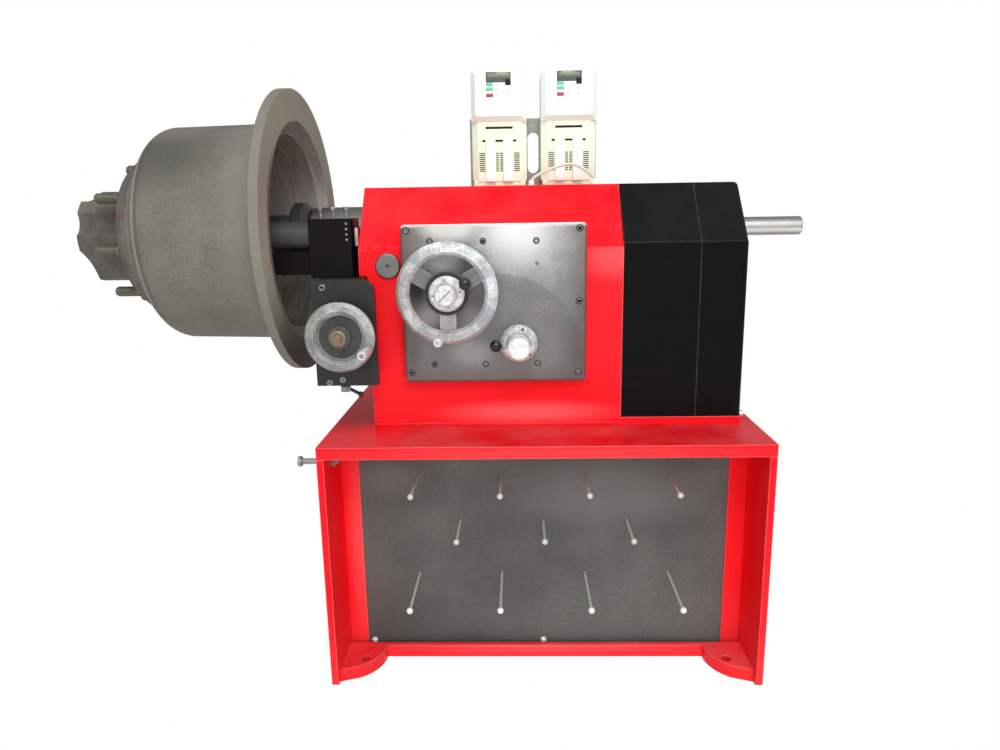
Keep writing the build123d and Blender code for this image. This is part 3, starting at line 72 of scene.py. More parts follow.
def front_of_axis(node):
    """The point where the axis of a round solid leaves its front."""
    low, high = corners(node)
    return Vector(((low.x + high.x) / 2, low.y, (low.z + high.z) / 2))


PLATE_LOW, PLATE_HIGH = corners("control_plate")
DRIVES_LOW, DRIVES_HIGH = corners("motor_drives")
POST_LOW, POST_HIGH = corners("tool_post")
DRUM_LOW, DRUM_HIGH = corners("brake_drum")
SPINDLE = Vector((0, (DRUM_LOW.y + DRUM_HIGH.y) / 2, (DRUM_LOW.z + DRUM_HIGH.z) / 2))
FEED_AXIS = front_of_axis("clutch_knob")
CHOICE_AXIS = front_of_axis("selector_knob")
CROSS_AXIS = front_of_axis("cross_end_nut")


# Settings
def colour(name, description, default):
    """A colour property."""
    return FloatVectorProperty(
        name=name, description=description, subtype="COLOR", size=3, min=0, max=1, default=default
    )


def length(name, description, default):
    """A length property in metres."""
    return FloatProperty(name=name, description=description, unit="LENGTH", min=0, default=default)


def share(name, description, default):
    """A property from 0 to 1."""
    return FloatProperty(name=name, description=description, subtype="FACTOR", min=0, max=1, default=default)


def power(name, description, default):
    """A lamp's power in watts."""
    return FloatProperty(name=name, description=description, unit="POWER", min=0, default=default)


class LatheEnamel(bpy.types.PropertyGroup):
    """Colours of the painted pieces."""

    red: colour("Red", "Gloss enamel of the stand and head", (0.90, 0.0045, 0.0115))
    black: colour("Black", "Enamel of the belt covers", (0.0045, 0.0045, 0.005))
    board: colour("Board", "Enamel of the peg board and rear panel", (0.112, 0.114, 0.106))
    motor: colour("Motor", "Enamel of the motors", (0.16, 0.18, 0.19))
    wear: share("Edge wear", "How much paint is rubbed off the edges", 0.45)
    dust: share("Dust", "How much dust lies on level paint", 0.25)


class LatheMetal(bpy.types.PropertyGroup):
    """Colours of the bare metal pieces."""

    plate: colour("Plate", "Ground steel of the control plate", (0.80, 0.80, 0.775))
    turned: colour("Turned", "Turned and milled steel", (0.62, 0.61, 0.59))
    oiled: colour("Oiled", "Oiled steel of the quill and arbor", (0.24, 0.24, 0.23))
    dark: colour("Dark", "Blackened steel of the rack, cones and nuts", (0.055, 0.055, 0.05))
    zinc: colour("Zinc", "Bright plated pegs and bolts", (0.86, 0.86, 0.83))
    chrome: colour("Chrome", "Plated rims and knobs", (0.88, 0.88, 0.88))
    dial: colour("Dial", "Duller plate of the dials", (0.60, 0.60, 0.59))
    iron: colour("Iron", "Skin of the drum's casting", (0.154, 0.154, 0.132))
    hub: colour("Hub", "Skin of the hub's casting", (0.106, 0.099, 0.084))
    bronze: colour("Bronze", "Bearing bushes", (0.62, 0.45, 0.24))
    buff: colour("Buff", "Nut on the cross-slide's wheel", (0.33, 0.26, 0.17))


class LathePlastic(bpy.types.PropertyGroup):
    """Colours of the moulded pieces."""

    ivory: colour("Ivory", "Cases of the motor drives", (0.84, 0.90, 0.77))
    knob: colour("Knob", "Ball knobs of the levers", (0.008, 0.009, 0.008))
    window: colour("Window", "Display window of a drive", (0.09, 0.105, 0.105))
    band: colour("Band", "Digits' band in the window", (0.19, 0.22, 0.13))
    green_key: colour("Green key", "Run keys of a drive", (0.17, 0.52, 0.43))
    red_key: colour("Red key", "Stop key of a drive", (0.43, 0.05, 0.10))
    grey_key: colour("Grey key", "Setting keys of a drive", (0.62, 0.62, 0.60))
    lead: colour("Lead", "Sheath of the drives' lead", (0.66, 0.68, 0.57))
    belt: colour("Belt", "Rubber of the belts", (0.018, 0.018, 0.018))


class LatheFittings(bpy.types.PropertyGroup):
    """Sizes of the small fittings."""

    cap_screw: length("Cap screw", "Radius of the plate's corner screw heads", 0.0050)
    row_screw: length("Row screw", "Radius of the plate's inner screw heads", 0.0043)
    # A thin dark ring round each cap screw stands for the shadow in its counterbore: painted shadow.
    well: length("Shadow", "Width of the dark well round a cap screw", 0.0024)
    button: length("Button", "Radius of the cover and panel screw heads", 0.0055)
    ball: length("Ball", "Radius of a lever's ball knob", 0.0123)
    thread: length("Thread", "Pitch of the wheel studs' thread", 0.002)


class LatheStage(bpy.types.PropertyGroup):
    """Floor, lamps and background."""

    floor: colour("Floor", "Plain pale floor", (0.88, 0.88, 0.87))
    floor_radius: length("Floor radius", "Radius of the floor", 2.6)
    key: power("Key lamp", "Power of the lamp high in front", 42)
    front: power("Front lamp", "Power of the broad lamp in front", 43)
    top: power("Top lamp", "Power of the lamp overhead", 6)
    sky: share("Sky", "Strength of the even light from all round", 0.58)


class LatheSettings(bpy.types.PropertyGroup):
    """All the settings of the lathe."""

    enamel: PointerProperty(type=LatheEnamel, name="Enamel", description="Colours of the painted pieces")
    metal: PointerProperty(type=LatheMetal, name="Metal", description="Colours of the bare metal pieces")
    plastic: PointerProperty(type=LathePlastic, name="Plastic", description="Colours of the moulded pieces")
    fittings: PointerProperty(type=LatheFittings, name="Fittings", description="Sizes of the small fittings")
    stage: PointerProperty(type=LatheStage, name="Stage", description="Floor, lamps and background")


# Shader nodes
class Nodes:
    """Short ways to lay nodes in a shader tree."""

    def __init__(self, tree):
        self.tree = tree

    def feed(self, socket, value):
        """Links or sets one input."""
        if isinstance(value, bpy.types.NodeSocket):
            self.tree.links.new(value, socket)
        else:
            socket.default_value = value

    def add(self, kind, inputs=(), **settings):
        """A node with its settings and inputs."""
        node = self.tree.nodes.new(kind)
        for key, value in settings.items():
            setattr(node, key, value)
        for key, value in dict(inputs).items():
            self.feed(node.inputs[key], value)
        return node

    def maths(self, operation, *values):
        """A Math node's value."""
        return self.add("ShaderNodeMath", dict(enumerate(values)), operation=operation).outputs[0]

    def fold(self, operation, first, others):
        """One operation over several values, from the first to the last."""
        for other in others:
            first = self.maths(operation, first, other)
        return first

    def times(self, first, *others):
        """The product of the values."""
        return self.fold("MULTIPLY", first, others)

    def plus(self, first, *others):
        """The sum of the values."""
        return self.fold("ADD", first, others)

    def most(self, first, *others):
        """The greatest of the values."""
        return self.fold("MAXIMUM", first, others)

    def vector(self, operation, *values):
        """A Vector Math node's result."""
        node = self.add("ShaderNodeVectorMath", dict(enumerate(values)), operation=operation)
        return node.outputs["Value" if operation in ("LENGTH", "DOT_PRODUCT") else "Vector"]

    def span(self, value, low, high, to_low=0.0, to_high=1.0):
        """The value mapped smoothly from one range to another."""
        inputs = {"Value": value, "From Min": low, "From Max": high, "To Min": to_low, "To Max": to_high}
        return self.add("ShaderNodeMapRange", inputs, interpolation_type="SMOOTHSTEP").outputs[0]

    def band(self, value, rise, fall, amount):
        """A share that rises over one range of the value and falls over another."""
        return self.times(self.span(value, *rise), self.span(value, *fall, amount, 0.0))

    def reach(self, place, x, z, across, up):
        """The distance from a spot on the front, stretched across and up."""
        away = self.vector("SUBTRACT", place, (x, 0.0, z))
        return self.vector("LENGTH", self.vector("MULTIPLY", away, (across, 0.0, up)))

    def mix(self, part, first, second, blend="MIX"):
        """Two colours mixed."""
        inputs = {0: part, 6: first, 7: second}
        return self.add("ShaderNodeMix", inputs, data_type="RGBA", blend_type=blend).outputs[2]

    def noise(self, place, scale, detail=3.0, rough=0.55):
        """A noise value."""
        inputs = {"Vector": place, "Scale": scale, "Detail": detail, "Roughness": rough}
        return self.add("ShaderNodeTexNoise", inputs).outputs[0]

    def place(self):
        """Object coordinates."""
        return self.add("ShaderNodeTexCoord").outputs["Object"]

    def parts(self, place):
        """The three parts of a vector."""
        return tuple(self.add("ShaderNodeSeparateXYZ", {0: place}).outputs)

    def normal(self):
        """The surface's own normal."""
        return self.add("ShaderNodeNewGeometry").outputs["Normal"]

    def turned_to(self, way):
        """How far the surface faces a way, from -1 to 1."""
        return self.vector("DOT_PRODUCT", self.normal(), tuple(way))

    def use(self, group, **inputs):
        """A node group placed in this tree."""
        return self.add("ShaderNodeGroup", inputs, node_tree=bpy.data.node_groups[group]).outputs

    def bump(self, height, normal, strength, depth):
        """A bumped normal."""
        inputs = {"Height": height, "Normal": normal, "Strength": strength, "Distance": depth}
        return self.add("ShaderNodeBump", inputs).outputs[0]


def rgba(tint, factor=1.0):
    """A colour with alpha, made lighter or darker."""
    return tuple(min(1.0, part * factor) for part in tint) + (1.0,)


def node_group(name, inputs, outputs):
    """An empty shader node group with named sockets."""
    kinds = {float: "NodeSocketFloat", tuple: "NodeSocketVector"}
    tree = bpy.data.node_groups.new(name, "ShaderNodeTree")
    for socket, default in inputs.items():
        made = tree.interface.new_socket(socket, in_out="INPUT", socket_type=kinds[type(default)])
        made.default_value = default
    for socket, kind in outputs.items():
        tree.interface.new_socket(socket, in_out="OUTPUT", socket_type=kinds[kind])
    nodes = Nodes(tree)
    return nodes, nodes.add("NodeGroupInput").outputs, nodes.add("NodeGroupOutput").inputs


def make_rubbed_edges():
    """Rounded edges and a mask of where they are rubbed bare."""
    nodes, given, out = node_group(
        "Rubbed edges", {"Width": 0.002, "Scale": 70.0}, {"Mask": float, "Line": float, "Normal": tuple}
    )
    rounded = nodes.add("ShaderNodeBevel", {"Radius": given["Width"]}, samples=6).outputs[0]
    turn = nodes.maths("SUBTRACT", 1.0, nodes.vector("DOT_PRODUCT", rounded, nodes.normal()))
    air = nodes.add("ShaderNodeAmbientOcclusion", {"Distance": 0.015}, samples=4).outputs["AO"]
    line = nodes.times(nodes.span(turn, 0.003, 0.06), nodes.span(air, 0.7, 0.95))
    breaks = nodes.span(nodes.noise(nodes.place(), given["Scale"], 5.0, 0.65), 0.42, 0.64)
    nodes.feed(out["Mask"], nodes.times(line, breaks))
    nodes.feed(out["Line"], line)
    nodes.feed(out["Normal"], rounded)


def make_settled_dust():
    """A mask of dust on surfaces that face up."""
    nodes, given, out = node_group("Settled dust", {"Scale": 9.0}, {"Mask": float})
    patches = nodes.span(nodes.noise(nodes.place(), given["Scale"], 6.0, 0.6), 0.3, 0.75)
    nodes.feed(out["Mask"], nodes.times(nodes.span(nodes.turned_to(UP), 0.4, 0.95), patches))


def make_corner_shade_and_grime():
    """A mask of grime and painted shade in corners, where ambient occlusion finds them, broken up by noise.
    """
    nodes, given, out = node_group("Grime", {"Distance": 0.03, "Scale": 30.0}, {"Mask": float})
    air = nodes.add("ShaderNodeAmbientOcclusion", {"Distance": given["Distance"]}, samples=6).outputs["AO"]
    patches = nodes.span(nodes.noise(nodes.place(), given["Scale"], 5.0, 0.6), 0.25, 0.8, 0.35, 1.0)
    nodes.feed(out["Mask"], nodes.times(nodes.span(air, 0.35, 0.9, 1.0, 0.0), patches))


def make_turning_lines():
    """Tool lines round an axis, with the distance from it, the distance along it and the facing to it."""
    nodes, given, out = node_group(
        "Turning lines", {"Centre": (0.0, 0.0, 0.0), "Across": ROUND_X, "Lines": 900.0},
        {"Lines": float, "Radius": float, "Facing": float, "Along": float},
    )
    place = nodes.vector("SUBTRACT", nodes.place(), given["Centre"])
    flat = nodes.vector("MULTIPLY", place, given["Across"])
    radius = nodes.vector("LENGTH", flat)
    along = nodes.vector("DOT_PRODUCT", nodes.vector("SUBTRACT", place, flat), (1.0, 1.0, 1.0))
    step = nodes.times(nodes.plus(radius, along), given["Lines"])
    noise = nodes.add("ShaderNodeTexNoise", {"W": step, "Scale": 1.0, "Detail": 3.0}, noise_dimensions="1D")
    nodes.feed(out["Lines"], noise.outputs[0])
    nodes.feed(out["Radius"], radius)
    nodes.feed(out["Along"], along)
    nodes.feed(out["Facing"], nodes.vector("DOT_PRODUCT", nodes.vector("NORMALIZE", flat), nodes.normal()))


def make_drawn_grain():
    """Fine grain drawn out along one way."""
    nodes, given, out = node_group("Drawn grain", {"Stretch": (20.0, 900.0, 900.0)}, {"Grain": float})
    place = nodes.vector("MULTIPLY", nodes.place(), given["Stretch"])
    nodes.feed(out["Grain"], nodes.noise(place, 1.0, 4.0, 0.6))


def make_scratches():
    """A mask of thin scratches in several directions."""
    nodes, given, out = node_group("Scratches", {"Scale": 6.0}, {"Mask": float})
    total = 0.0
    for turn in (0.4, 1.5, 2.5):
        rotation = (turn, 1.3 * turn, 0.7 * turn)
        inputs = {"Vector": nodes.place(), "Rotation": rotation, "Scale": (1.0, 34.0, 34.0)}
        turned_place = nodes.add("ShaderNodeMapping", inputs).outputs[0]
        line = nodes.span(nodes.noise(turned_place, given["Scale"], 2.0, 0.5), 0.655, 0.69)
        total = nodes.most(total, line)
    nodes.feed(out["Mask"], total)


def make_cast_skin():
    """Height and mottle of a sand casting's skin."""
    nodes, given, out = node_group("Cast skin", {"Scale": 420.0}, {"Height": float, "Mottle": float})
    place = nodes.place()
    grains = nodes.noise(place, given["Scale"], 4.0, 0.7)
    lumps = nodes.noise(place, nodes.times(given["Scale"], 0.12), 3.0, 0.6)
    nodes.feed(out["Height"], nodes.plus(grains, nodes.times(lumps, 0.8)))
    nodes.feed(out["Mottle"], nodes.noise(place, nodes.times(given["Scale"], 0.03), 6.0, 0.65))


class Finish:
    """A material in the making: its nodes, its shader, its rubbed edges and its colour so far."""

    def __init__(self, name, edge=None, metallic=0.0, specular=0.5):
        self.material = bpy.data.materials.new(name)
        self.material.use_nodes = True
        self.nodes = Nodes(self.material.node_tree)
        self.shader = self.material.node_tree.nodes["Principled BSDF"]
        self.set("Metallic", metallic)
        self.set("Specular IOR Level", specular)
        self.place = self.nodes.place()
        if edge:
            self.edges = self.nodes.use("Rubbed edges", Width=edge[0], Scale=edge[1])
        self.colour = None

    def set(self, socket, value):
        """Sets or links one of the shader's inputs."""
        self.nodes.feed(self.shader.inputs[socket], value)

    def begin(self, part, first, second):
        """Starts the colour anew from two others."""
        self.colour = self.nodes.mix(part, first, second)

    def shade(self, part, tint, low, high):
        """Starts the colour anew from two shades of a tint."""
        self.begin(part, rgba(tint, low), rgba(tint, high))

    def lay(self, part, tint, factor=1.0, blend="MIX"):
        """Lays a tint over part of the colour so far."""
        self.colour = self.nodes.mix(part, self.colour, rgba(tint, factor), blend)

    def soil_and_shade_corners(self, distance, scale, amount, tint, factor):
        """Lays grime and painted shade in the corners: the tint darkened where ambient occlusion finds them.
        """
        grime_and_shade = self.nodes.use("Grime", Distance=distance, Scale=scale)["Mask"]
        self.lay(self.nodes.times(grime_and_shade, amount), tint, factor)

    def close(self, roughness, height, strength, depth):
        """Links the colour, the roughness and the bumped normal."""
        self.set("Base Color", self.colour)
        self.set("Roughness", roughness)
        self.set("Normal", self.nodes.bump(height, self.edges["Normal"], strength, depth))


def enamel(name, tint, worn, roughness, specular, wear, dust, scuff=0.0, peel=0.05,
           dust_tint=(0.55, 0.40, 0.38), edge=0.3, grime_and_shade=0.14, cloud=0.04, haze=0.0, front_sheen=0.0, grain=0.0,
           level=0.0, painted_light_spots=(), painted_light_tint=(1.0, 0.17, 0.18)):
    """Enamel with soft rounded edges, rubbed lines and dust, painted highlights on its edges, on faces to the
    front and in given spots, painted shade on level tops, and grime with painted shade in the corners.
    """
    made = Finish(name, (0.0026, 60.0), specular=specular)
    nodes, place, edges = made.nodes, made.place, made.edges
    made.shade(nodes.span(nodes.noise(place, 4.0, 3.0, 0.5), 0.3, 0.7), tint, 1 - cloud, 1 + cloud)
    made.lay(nodes.span(nodes.noise(place, 380.0, 3.0, 0.6), 0.42, 0.66, 0.0, grain), tint, 0.4)
    x, _, z = nodes.parts(place)
    made.lay(nodes.span(z, 0.02, 0.20, haze, 0.0), dust_tint)
    # Level tops above the floor darkened, except at the far left: painted shade.
    flat = nodes.span(nodes.turned_to(UP), 0.9, 0.99, 0.0, level)
    made.lay(nodes.times(flat, nodes.span(z, 0.1, 0.3), nodes.span(x, -0.33, -0.26)), tint, 0.5)
    # Faces turned to the front made lighter and pinker in patches: painted sheen.
    front = nodes.span(nodes.turned_to(FRONT), 0.93, 0.99)
    front_sheen_patches = nodes.span(nodes.noise(place, 2.6, 2.0, 0.5), 0.3, 0.65, 0.3 * front_sheen, front_sheen)
    made.lay(nodes.times(front, front_sheen_patches), (1.0, 0.12, 0.13))
    # Lighter spots on faces to the front: painted light and highlights.
    for spot_x, spot_z, wide, high, amount in painted_light_spots:
        reach = nodes.reach(place, spot_x, spot_z, 1 / wide, 1 / high)
        made.lay(nodes.times(front, nodes.span(reach, 0.1, 1.0, amount, 0.0)), painted_light_tint)
    # Grime and painted shade in the corners
    made.soil_and_shade_corners(0.035, 24.0, grime_and_shade, tint, 0.5)
    made.lay(nodes.times(nodes.use("Settled dust", Scale=7.0)["Mask"], dust), dust_tint)
    # Edges lightened along their whole length: painted edge highlight, partly rubbed paint.
    made.lay(nodes.times(edges["Line"], edge), worn)
    scuffs = nodes.times(nodes.use("Scratches", Scale=5.0)["Mask"], scuff)
    made.lay(nodes.most(nodes.times(edges["Mask"], wear), scuffs), worn)
    smears = nodes.span(nodes.noise(place, 14.0, 5.0, 0.6), 0.3, 0.75, roughness, roughness * 1.25)
    made.close(smears, nodes.noise(place, 260.0, 2.0, 0.5), peel, 0.0008)


def steel(name, tint, roughness, centre=None, across=ROUND_X, stretch=(16.0, 900.0, 900.0), metallic=1.0,
          stain=0.35, groove=0.12, specular=0.5, dull_from=None):
    """Cut steel, turned round its centre or else drawn along one way, with stains and bright edges."""
    made = Finish(name, (0.0012, 120.0), metallic, specular)
    nodes, place = made.nodes, made.place
    if centre is None:
        cut = nodes.use("Drawn grain", Stretch=stretch)["Grain"]
    else:
        cut = nodes.use("Turning lines", Centre=tuple(centre), Across=across, Lines=1400.0)["Lines"]
    made.shade(nodes.span(cut, 0.3, 0.7), tint, 0.86, 1.1)
    clouds = nodes.span(nodes.noise(place, 26.0, 6.0, 0.65), 0.4, 0.75)
    made.lay(nodes.times(clouds, stain), tint, 0.55)
    if dull_from is not None:
        depth = nodes.parts(place)[1]
        made.lay(nodes.span(depth, dull_from, dull_from + 0.004, 0.0, 0.45), tint, 0.3)
    # Grime and painted shade in the corners
    made.soil_and_shade_corners(0.012, 60.0, 0.5, tint, 0.25)
    made.lay(nodes.times(made.edges["Mask"], 0.5), tint, 1.35)
    worn = nodes.plus(nodes.times(cut, 0.16), nodes.times(clouds, 0.14))
    made.close(nodes.plus(worn, roughness - 0.1), cut, groove, 0.0004)


# Painted shadows of the feed wheel on the control plate and patches of painted light among them: x, z, half
# width, half height, amount and how light
PLATE_PAINTED_LIGHT_AND_SHADOW = (
    (-0.254, 0.827, 0.034, 0.05, 0.9, 0.05), (-0.232, 0.765, 0.035, 0.03, 0.7, 0.9),
    (-0.150, 0.755, 0.05, 0.04, 0.35, 0.9), (-0.150, 0.690, 0.06, 0.04, 0.3, 0.9),
    (-0.145, 0.872, 0.042, 0.040, 0.75, 0.08), (-0.206, 0.864, 0.030, 0.022, 0.45, 0.9),
)
DARK_REFLECTION_DISC = (-0.0946, 0.0, 0.6709)


def ground_plate(name, tint):
    """Ground steel of the control plate: speckled, with painted shade at its rim, low down and to the sides,
    a painted dark reflection in a disc, painted highlights at its top, and painted shadow and light round the
    wheel.
    """
    made = Finish(name, (0.0018, 90.0), metallic=0.8)
    nodes, place = made.nodes, made.place
    speck = nodes.noise(place, 320.0, 4.0, 0.75)
    clouds = nodes.noise(place, 20.0, 5.0, 0.6)
    made.shade(nodes.span(clouds, 0.3, 0.72), tint, 0.88, 1.10)
    made.lay(nodes.span(speck, 0.40, 0.64, 0.0, 0.6), tint, 0.52)
    x, _, z = nodes.parts(place)
    # A darker disc with a darker edge: a painted reflection.
    from_reflection_centre = nodes.use("Turning lines", Centre=DARK_REFLECTION_DISC, Across=ROUND_Y)["Radius"]
    worn = nodes.plus(nodes.span(from_reflection_centre, 0.1796, 0.1830, 0.30, 0.0), nodes.span(from_reflection_centre, 0.150, 0.215, 0.08, 0.0))
    # Darker to the right, low down and at the far left: painted shade.
    right_side_shade = nodes.times(nodes.span(x, 0.0, 0.085), nodes.span(z, 0.74, 0.92, 0.55, 0.12))
    low = nodes.plus(nodes.span(z, 0.66, 0.89, 0.14, 0.0), right_side_shade, nodes.span(x, -0.285, -0.225, 0.42, 0.0))
    away_x = nodes.maths("ABSOLUTE", nodes.maths("SUBTRACT", x, (PLATE_LOW.x + PLATE_HIGH.x) / 2))
    from_x = nodes.maths("SUBTRACT", (PLATE_HIGH.x - PLATE_LOW.x) / 2, away_x)
    inside = nodes.maths("MINIMUM", from_x, nodes.maths("SUBTRACT", z, PLATE_LOW.z))
    rim = nodes.plus(nodes.span(inside, 0.0, 0.05, 0.40, 0.0), nodes.span(inside, 0.002, 0.0055, 0.5, 0.0))
    # Lighter round a spot at the top: painted sheen.
    from_sheen = nodes.reach(place, -0.050, PLATE_HIGH.z, 1.1, 1.05)
    made.lay(nodes.span(from_sheen, 0.02, 0.13, 1.0, 0.0), tint, 1.25)
    # Each darkens the plate: the painted reflection, the painted shade low and aside, and painted shade away
    # from the sheen.
    for part in (worn, low, nodes.span(from_sheen, 0.02, 0.16, 0.0, 0.55)):
        made.lay(part, tint, 0.16)
    # Patches of painted shadow and painted light round the wheel.
    for spot_x, spot_z, wide, high, amount, factor in PLATE_PAINTED_LIGHT_AND_SHADOW:
        reach = nodes.reach(place, spot_x, spot_z, 1 / wide, 1 / high)
        made.lay(nodes.span(reach, 0.2, 1.0, amount, 0.0), tint, factor)
    # Darker toward the sides and bottom, with a dark line along them and a reddish tint: painted shade and a
    # painted reflection of the red casing.
    made.lay(rim, (0.17, 0.075, 0.07))
    # Lighter over the wheel and along the top edge: painted glint and painted edge highlight.
    over = nodes.reach(place, FEED_AXIS.x, PLATE_HIGH.z, 1.0, 1.6)
    top = nodes.most(nodes.span(over, 0.03, 0.075, 0.8, 0.0), nodes.span(z, 0.942, 0.950, 0.0, 0.75))
    made.lay(top, tint, 1.25)
    # Grime and painted shade in the corners
    made.soil_and_shade_corners(0.02, 45.0, 0.55, tint, 0.22)
    made.close(nodes.span(clouds, 0.25, 0.75, 0.40, 0.52), speck, 0.06, 0.0004)


def plated_wheel(name, tint, centre, rim, web_tint, upper_web_shade, hub=0.0):
    """Wheel with a mottled bright rim outside a radius and a dull web inside it, with a painted bluish
    reflection on the right, painted shade low down, to the left and on the upper web, and painted edge
    highlights.
    """
    made = Finish(name, (0.0016, 130.0), specular=0.4)
    nodes, place = made.nodes, made.place
    lines = nodes.use("Turning lines", Centre=tuple(centre), Across=ROUND_Y, Lines=1600.0)
    outer = nodes.span(lines["Radius"], rim - 0.0006, rim + 0.0006)
    blots = nodes.noise(place, 48.0, 5.0, 0.6)
    x, _, z = nodes.parts(place)
    made.shade(nodes.span(blots, 0.32, 0.68), tint, 0.50, 1.12)
    made.lay(nodes.span(nodes.noise(place, 240.0, 4.0, 0.7), 0.46, 0.62, 0.0, 0.6), tint, 0.42)
    # Bluish toward the right: painted reflection.
    made.lay(nodes.span(x, centre.x, centre.x + rim, 0.0, 0.75), (0.86, 0.94, 1.0), blend="MULTIPLY")
    # Darker low down and to the left: painted shade.
    under = nodes.span(z, centre.z - rim * 1.2, centre.z + rim * 0.4, 0.66, 0.0)
    under = nodes.most(under, nodes.span(x, centre.x - rim * 1.3, centre.x - rim * 0.3, 0.82, 0.0))
    made.lay(under, (0.46, 0.46, 0.45), blend="MULTIPLY")
    made.lay(nodes.span(lines["Lines"], 0.35, 0.7, 0.0, 0.3), tint, 0.55)
    made.lay(nodes.span(lines["Facing"], 0.75, 0.97, 0.0, 0.85), tint, 0.2)
    bright = made.colour
    made.shade(nodes.span(nodes.noise(place, 34.0, 5.0, 0.6), 0.3, 0.7), web_tint, 0.8, 1.2)
    # Web darker above the axis: painted shade.
    made.lay(nodes.span(z, centre.z - 0.04, centre.z + 0.01, 0.0, upper_web_shade), web_tint, 0.3)
    made.begin(outer, made.colour, bright)
    if hub:
        made.lay(nodes.span(lines["Radius"], hub - 0.0005, hub + 0.0005, 1.0, 0.0), tint, 0.15)
    # Grime and painted shade in the corners
    made.soil_and_shade_corners(0.01, 70.0, 0.6, tint, 0.12)
    # Edges lightened along their whole length: painted edge highlight.
    made.lay(nodes.times(made.edges["Line"], 0.5), tint, 1.25)
    made.set("Metallic", nodes.span(outer, 0.0, 1.0, 0.15, 0.3))
    lumps = nodes.plus(nodes.times(blots, 1.2), nodes.times(lines["Lines"], 0.3))
    made.close(nodes.span(blots, 0.3, 0.7, 0.40, 0.29), lumps, 0.12, 0.0009)


def bright_plate(name, tint, centre):
    """Bright plate turned round an axis that runs front to back, with painted edge highlights and painted
    shade in its corners.
    """
    made = Finish(name, (0.0012, 150.0), metallic=0.35)
    nodes = made.nodes
    lines = nodes.use("Turning lines", Centre=tuple(centre), Across=ROUND_Y, Lines=1500.0)["Lines"]
    blots = nodes.noise(made.place, 110.0, 5.0, 0.65)
    made.shade(nodes.span(blots, 0.35, 0.7), tint, 1.15, 0.68)
    # Grime and painted shade in the corners
    made.soil_and_shade_corners(0.008, 90.0, 0.6, tint, 0.15)
    # Edges lightened along their whole length: painted edge highlight.
    made.lay(nodes.times(made.edges["Line"], 0.4), tint, 1.25)
    made.close(nodes.span(blots, 0.3, 0.7, 0.30, 0.44), lines, 0.10, 0.0004)


def spindle_steel(name, tint, oiled):
    """Spindle: bright turned tail with a painted highlight band and painted shade on top and below, and an
    arbor dull with oil where the work is mounted.
    """
    made = Finish(name, (0.0012, 120.0))
    nodes = made.nodes
    lines = nodes.use("Turning lines", Centre=tuple(SPINDLE), Across=ROUND_X, Lines=900.0)
    # Lighter where the surface faces sideways, darker on top and below: painted highlight band and painted
    # shade.
    way = nodes.turned_to(UP)
    lit_band_and_shade = nodes.times(nodes.span(way, 0.12, 0.75, 1.0, 0.18), nodes.span(way, -0.8, -0.45, 0.12, 1.0))
    made.shade(lit_band_and_shade, tint, 0.25, 1.3)
    made.lay(nodes.times(nodes.span(lines["Lines"], 0.3, 0.7), 0.3), tint, 0.8)
    bright = made.colour
    film = nodes.noise(made.place, 40.0, 5.0, 0.65)
    made.shade(nodes.span(film, 0.3, 0.7), oiled, 0.10, 0.40)
    left = nodes.span(lines["Along"], -0.3, -0.2, 1.0, 0.0)
    made.begin(left, bright, made.colour)
    made.lay(nodes.times(made.edges["Mask"], 0.5), tint, 1.3)
    made.set("Metallic", nodes.span(left, 0.0, 1.0, 0.9, 0.25))
    made.close(nodes.span(film, 0.3, 0.7, 0.29, 0.42), lines["Lines"], 0.12, 0.0004)


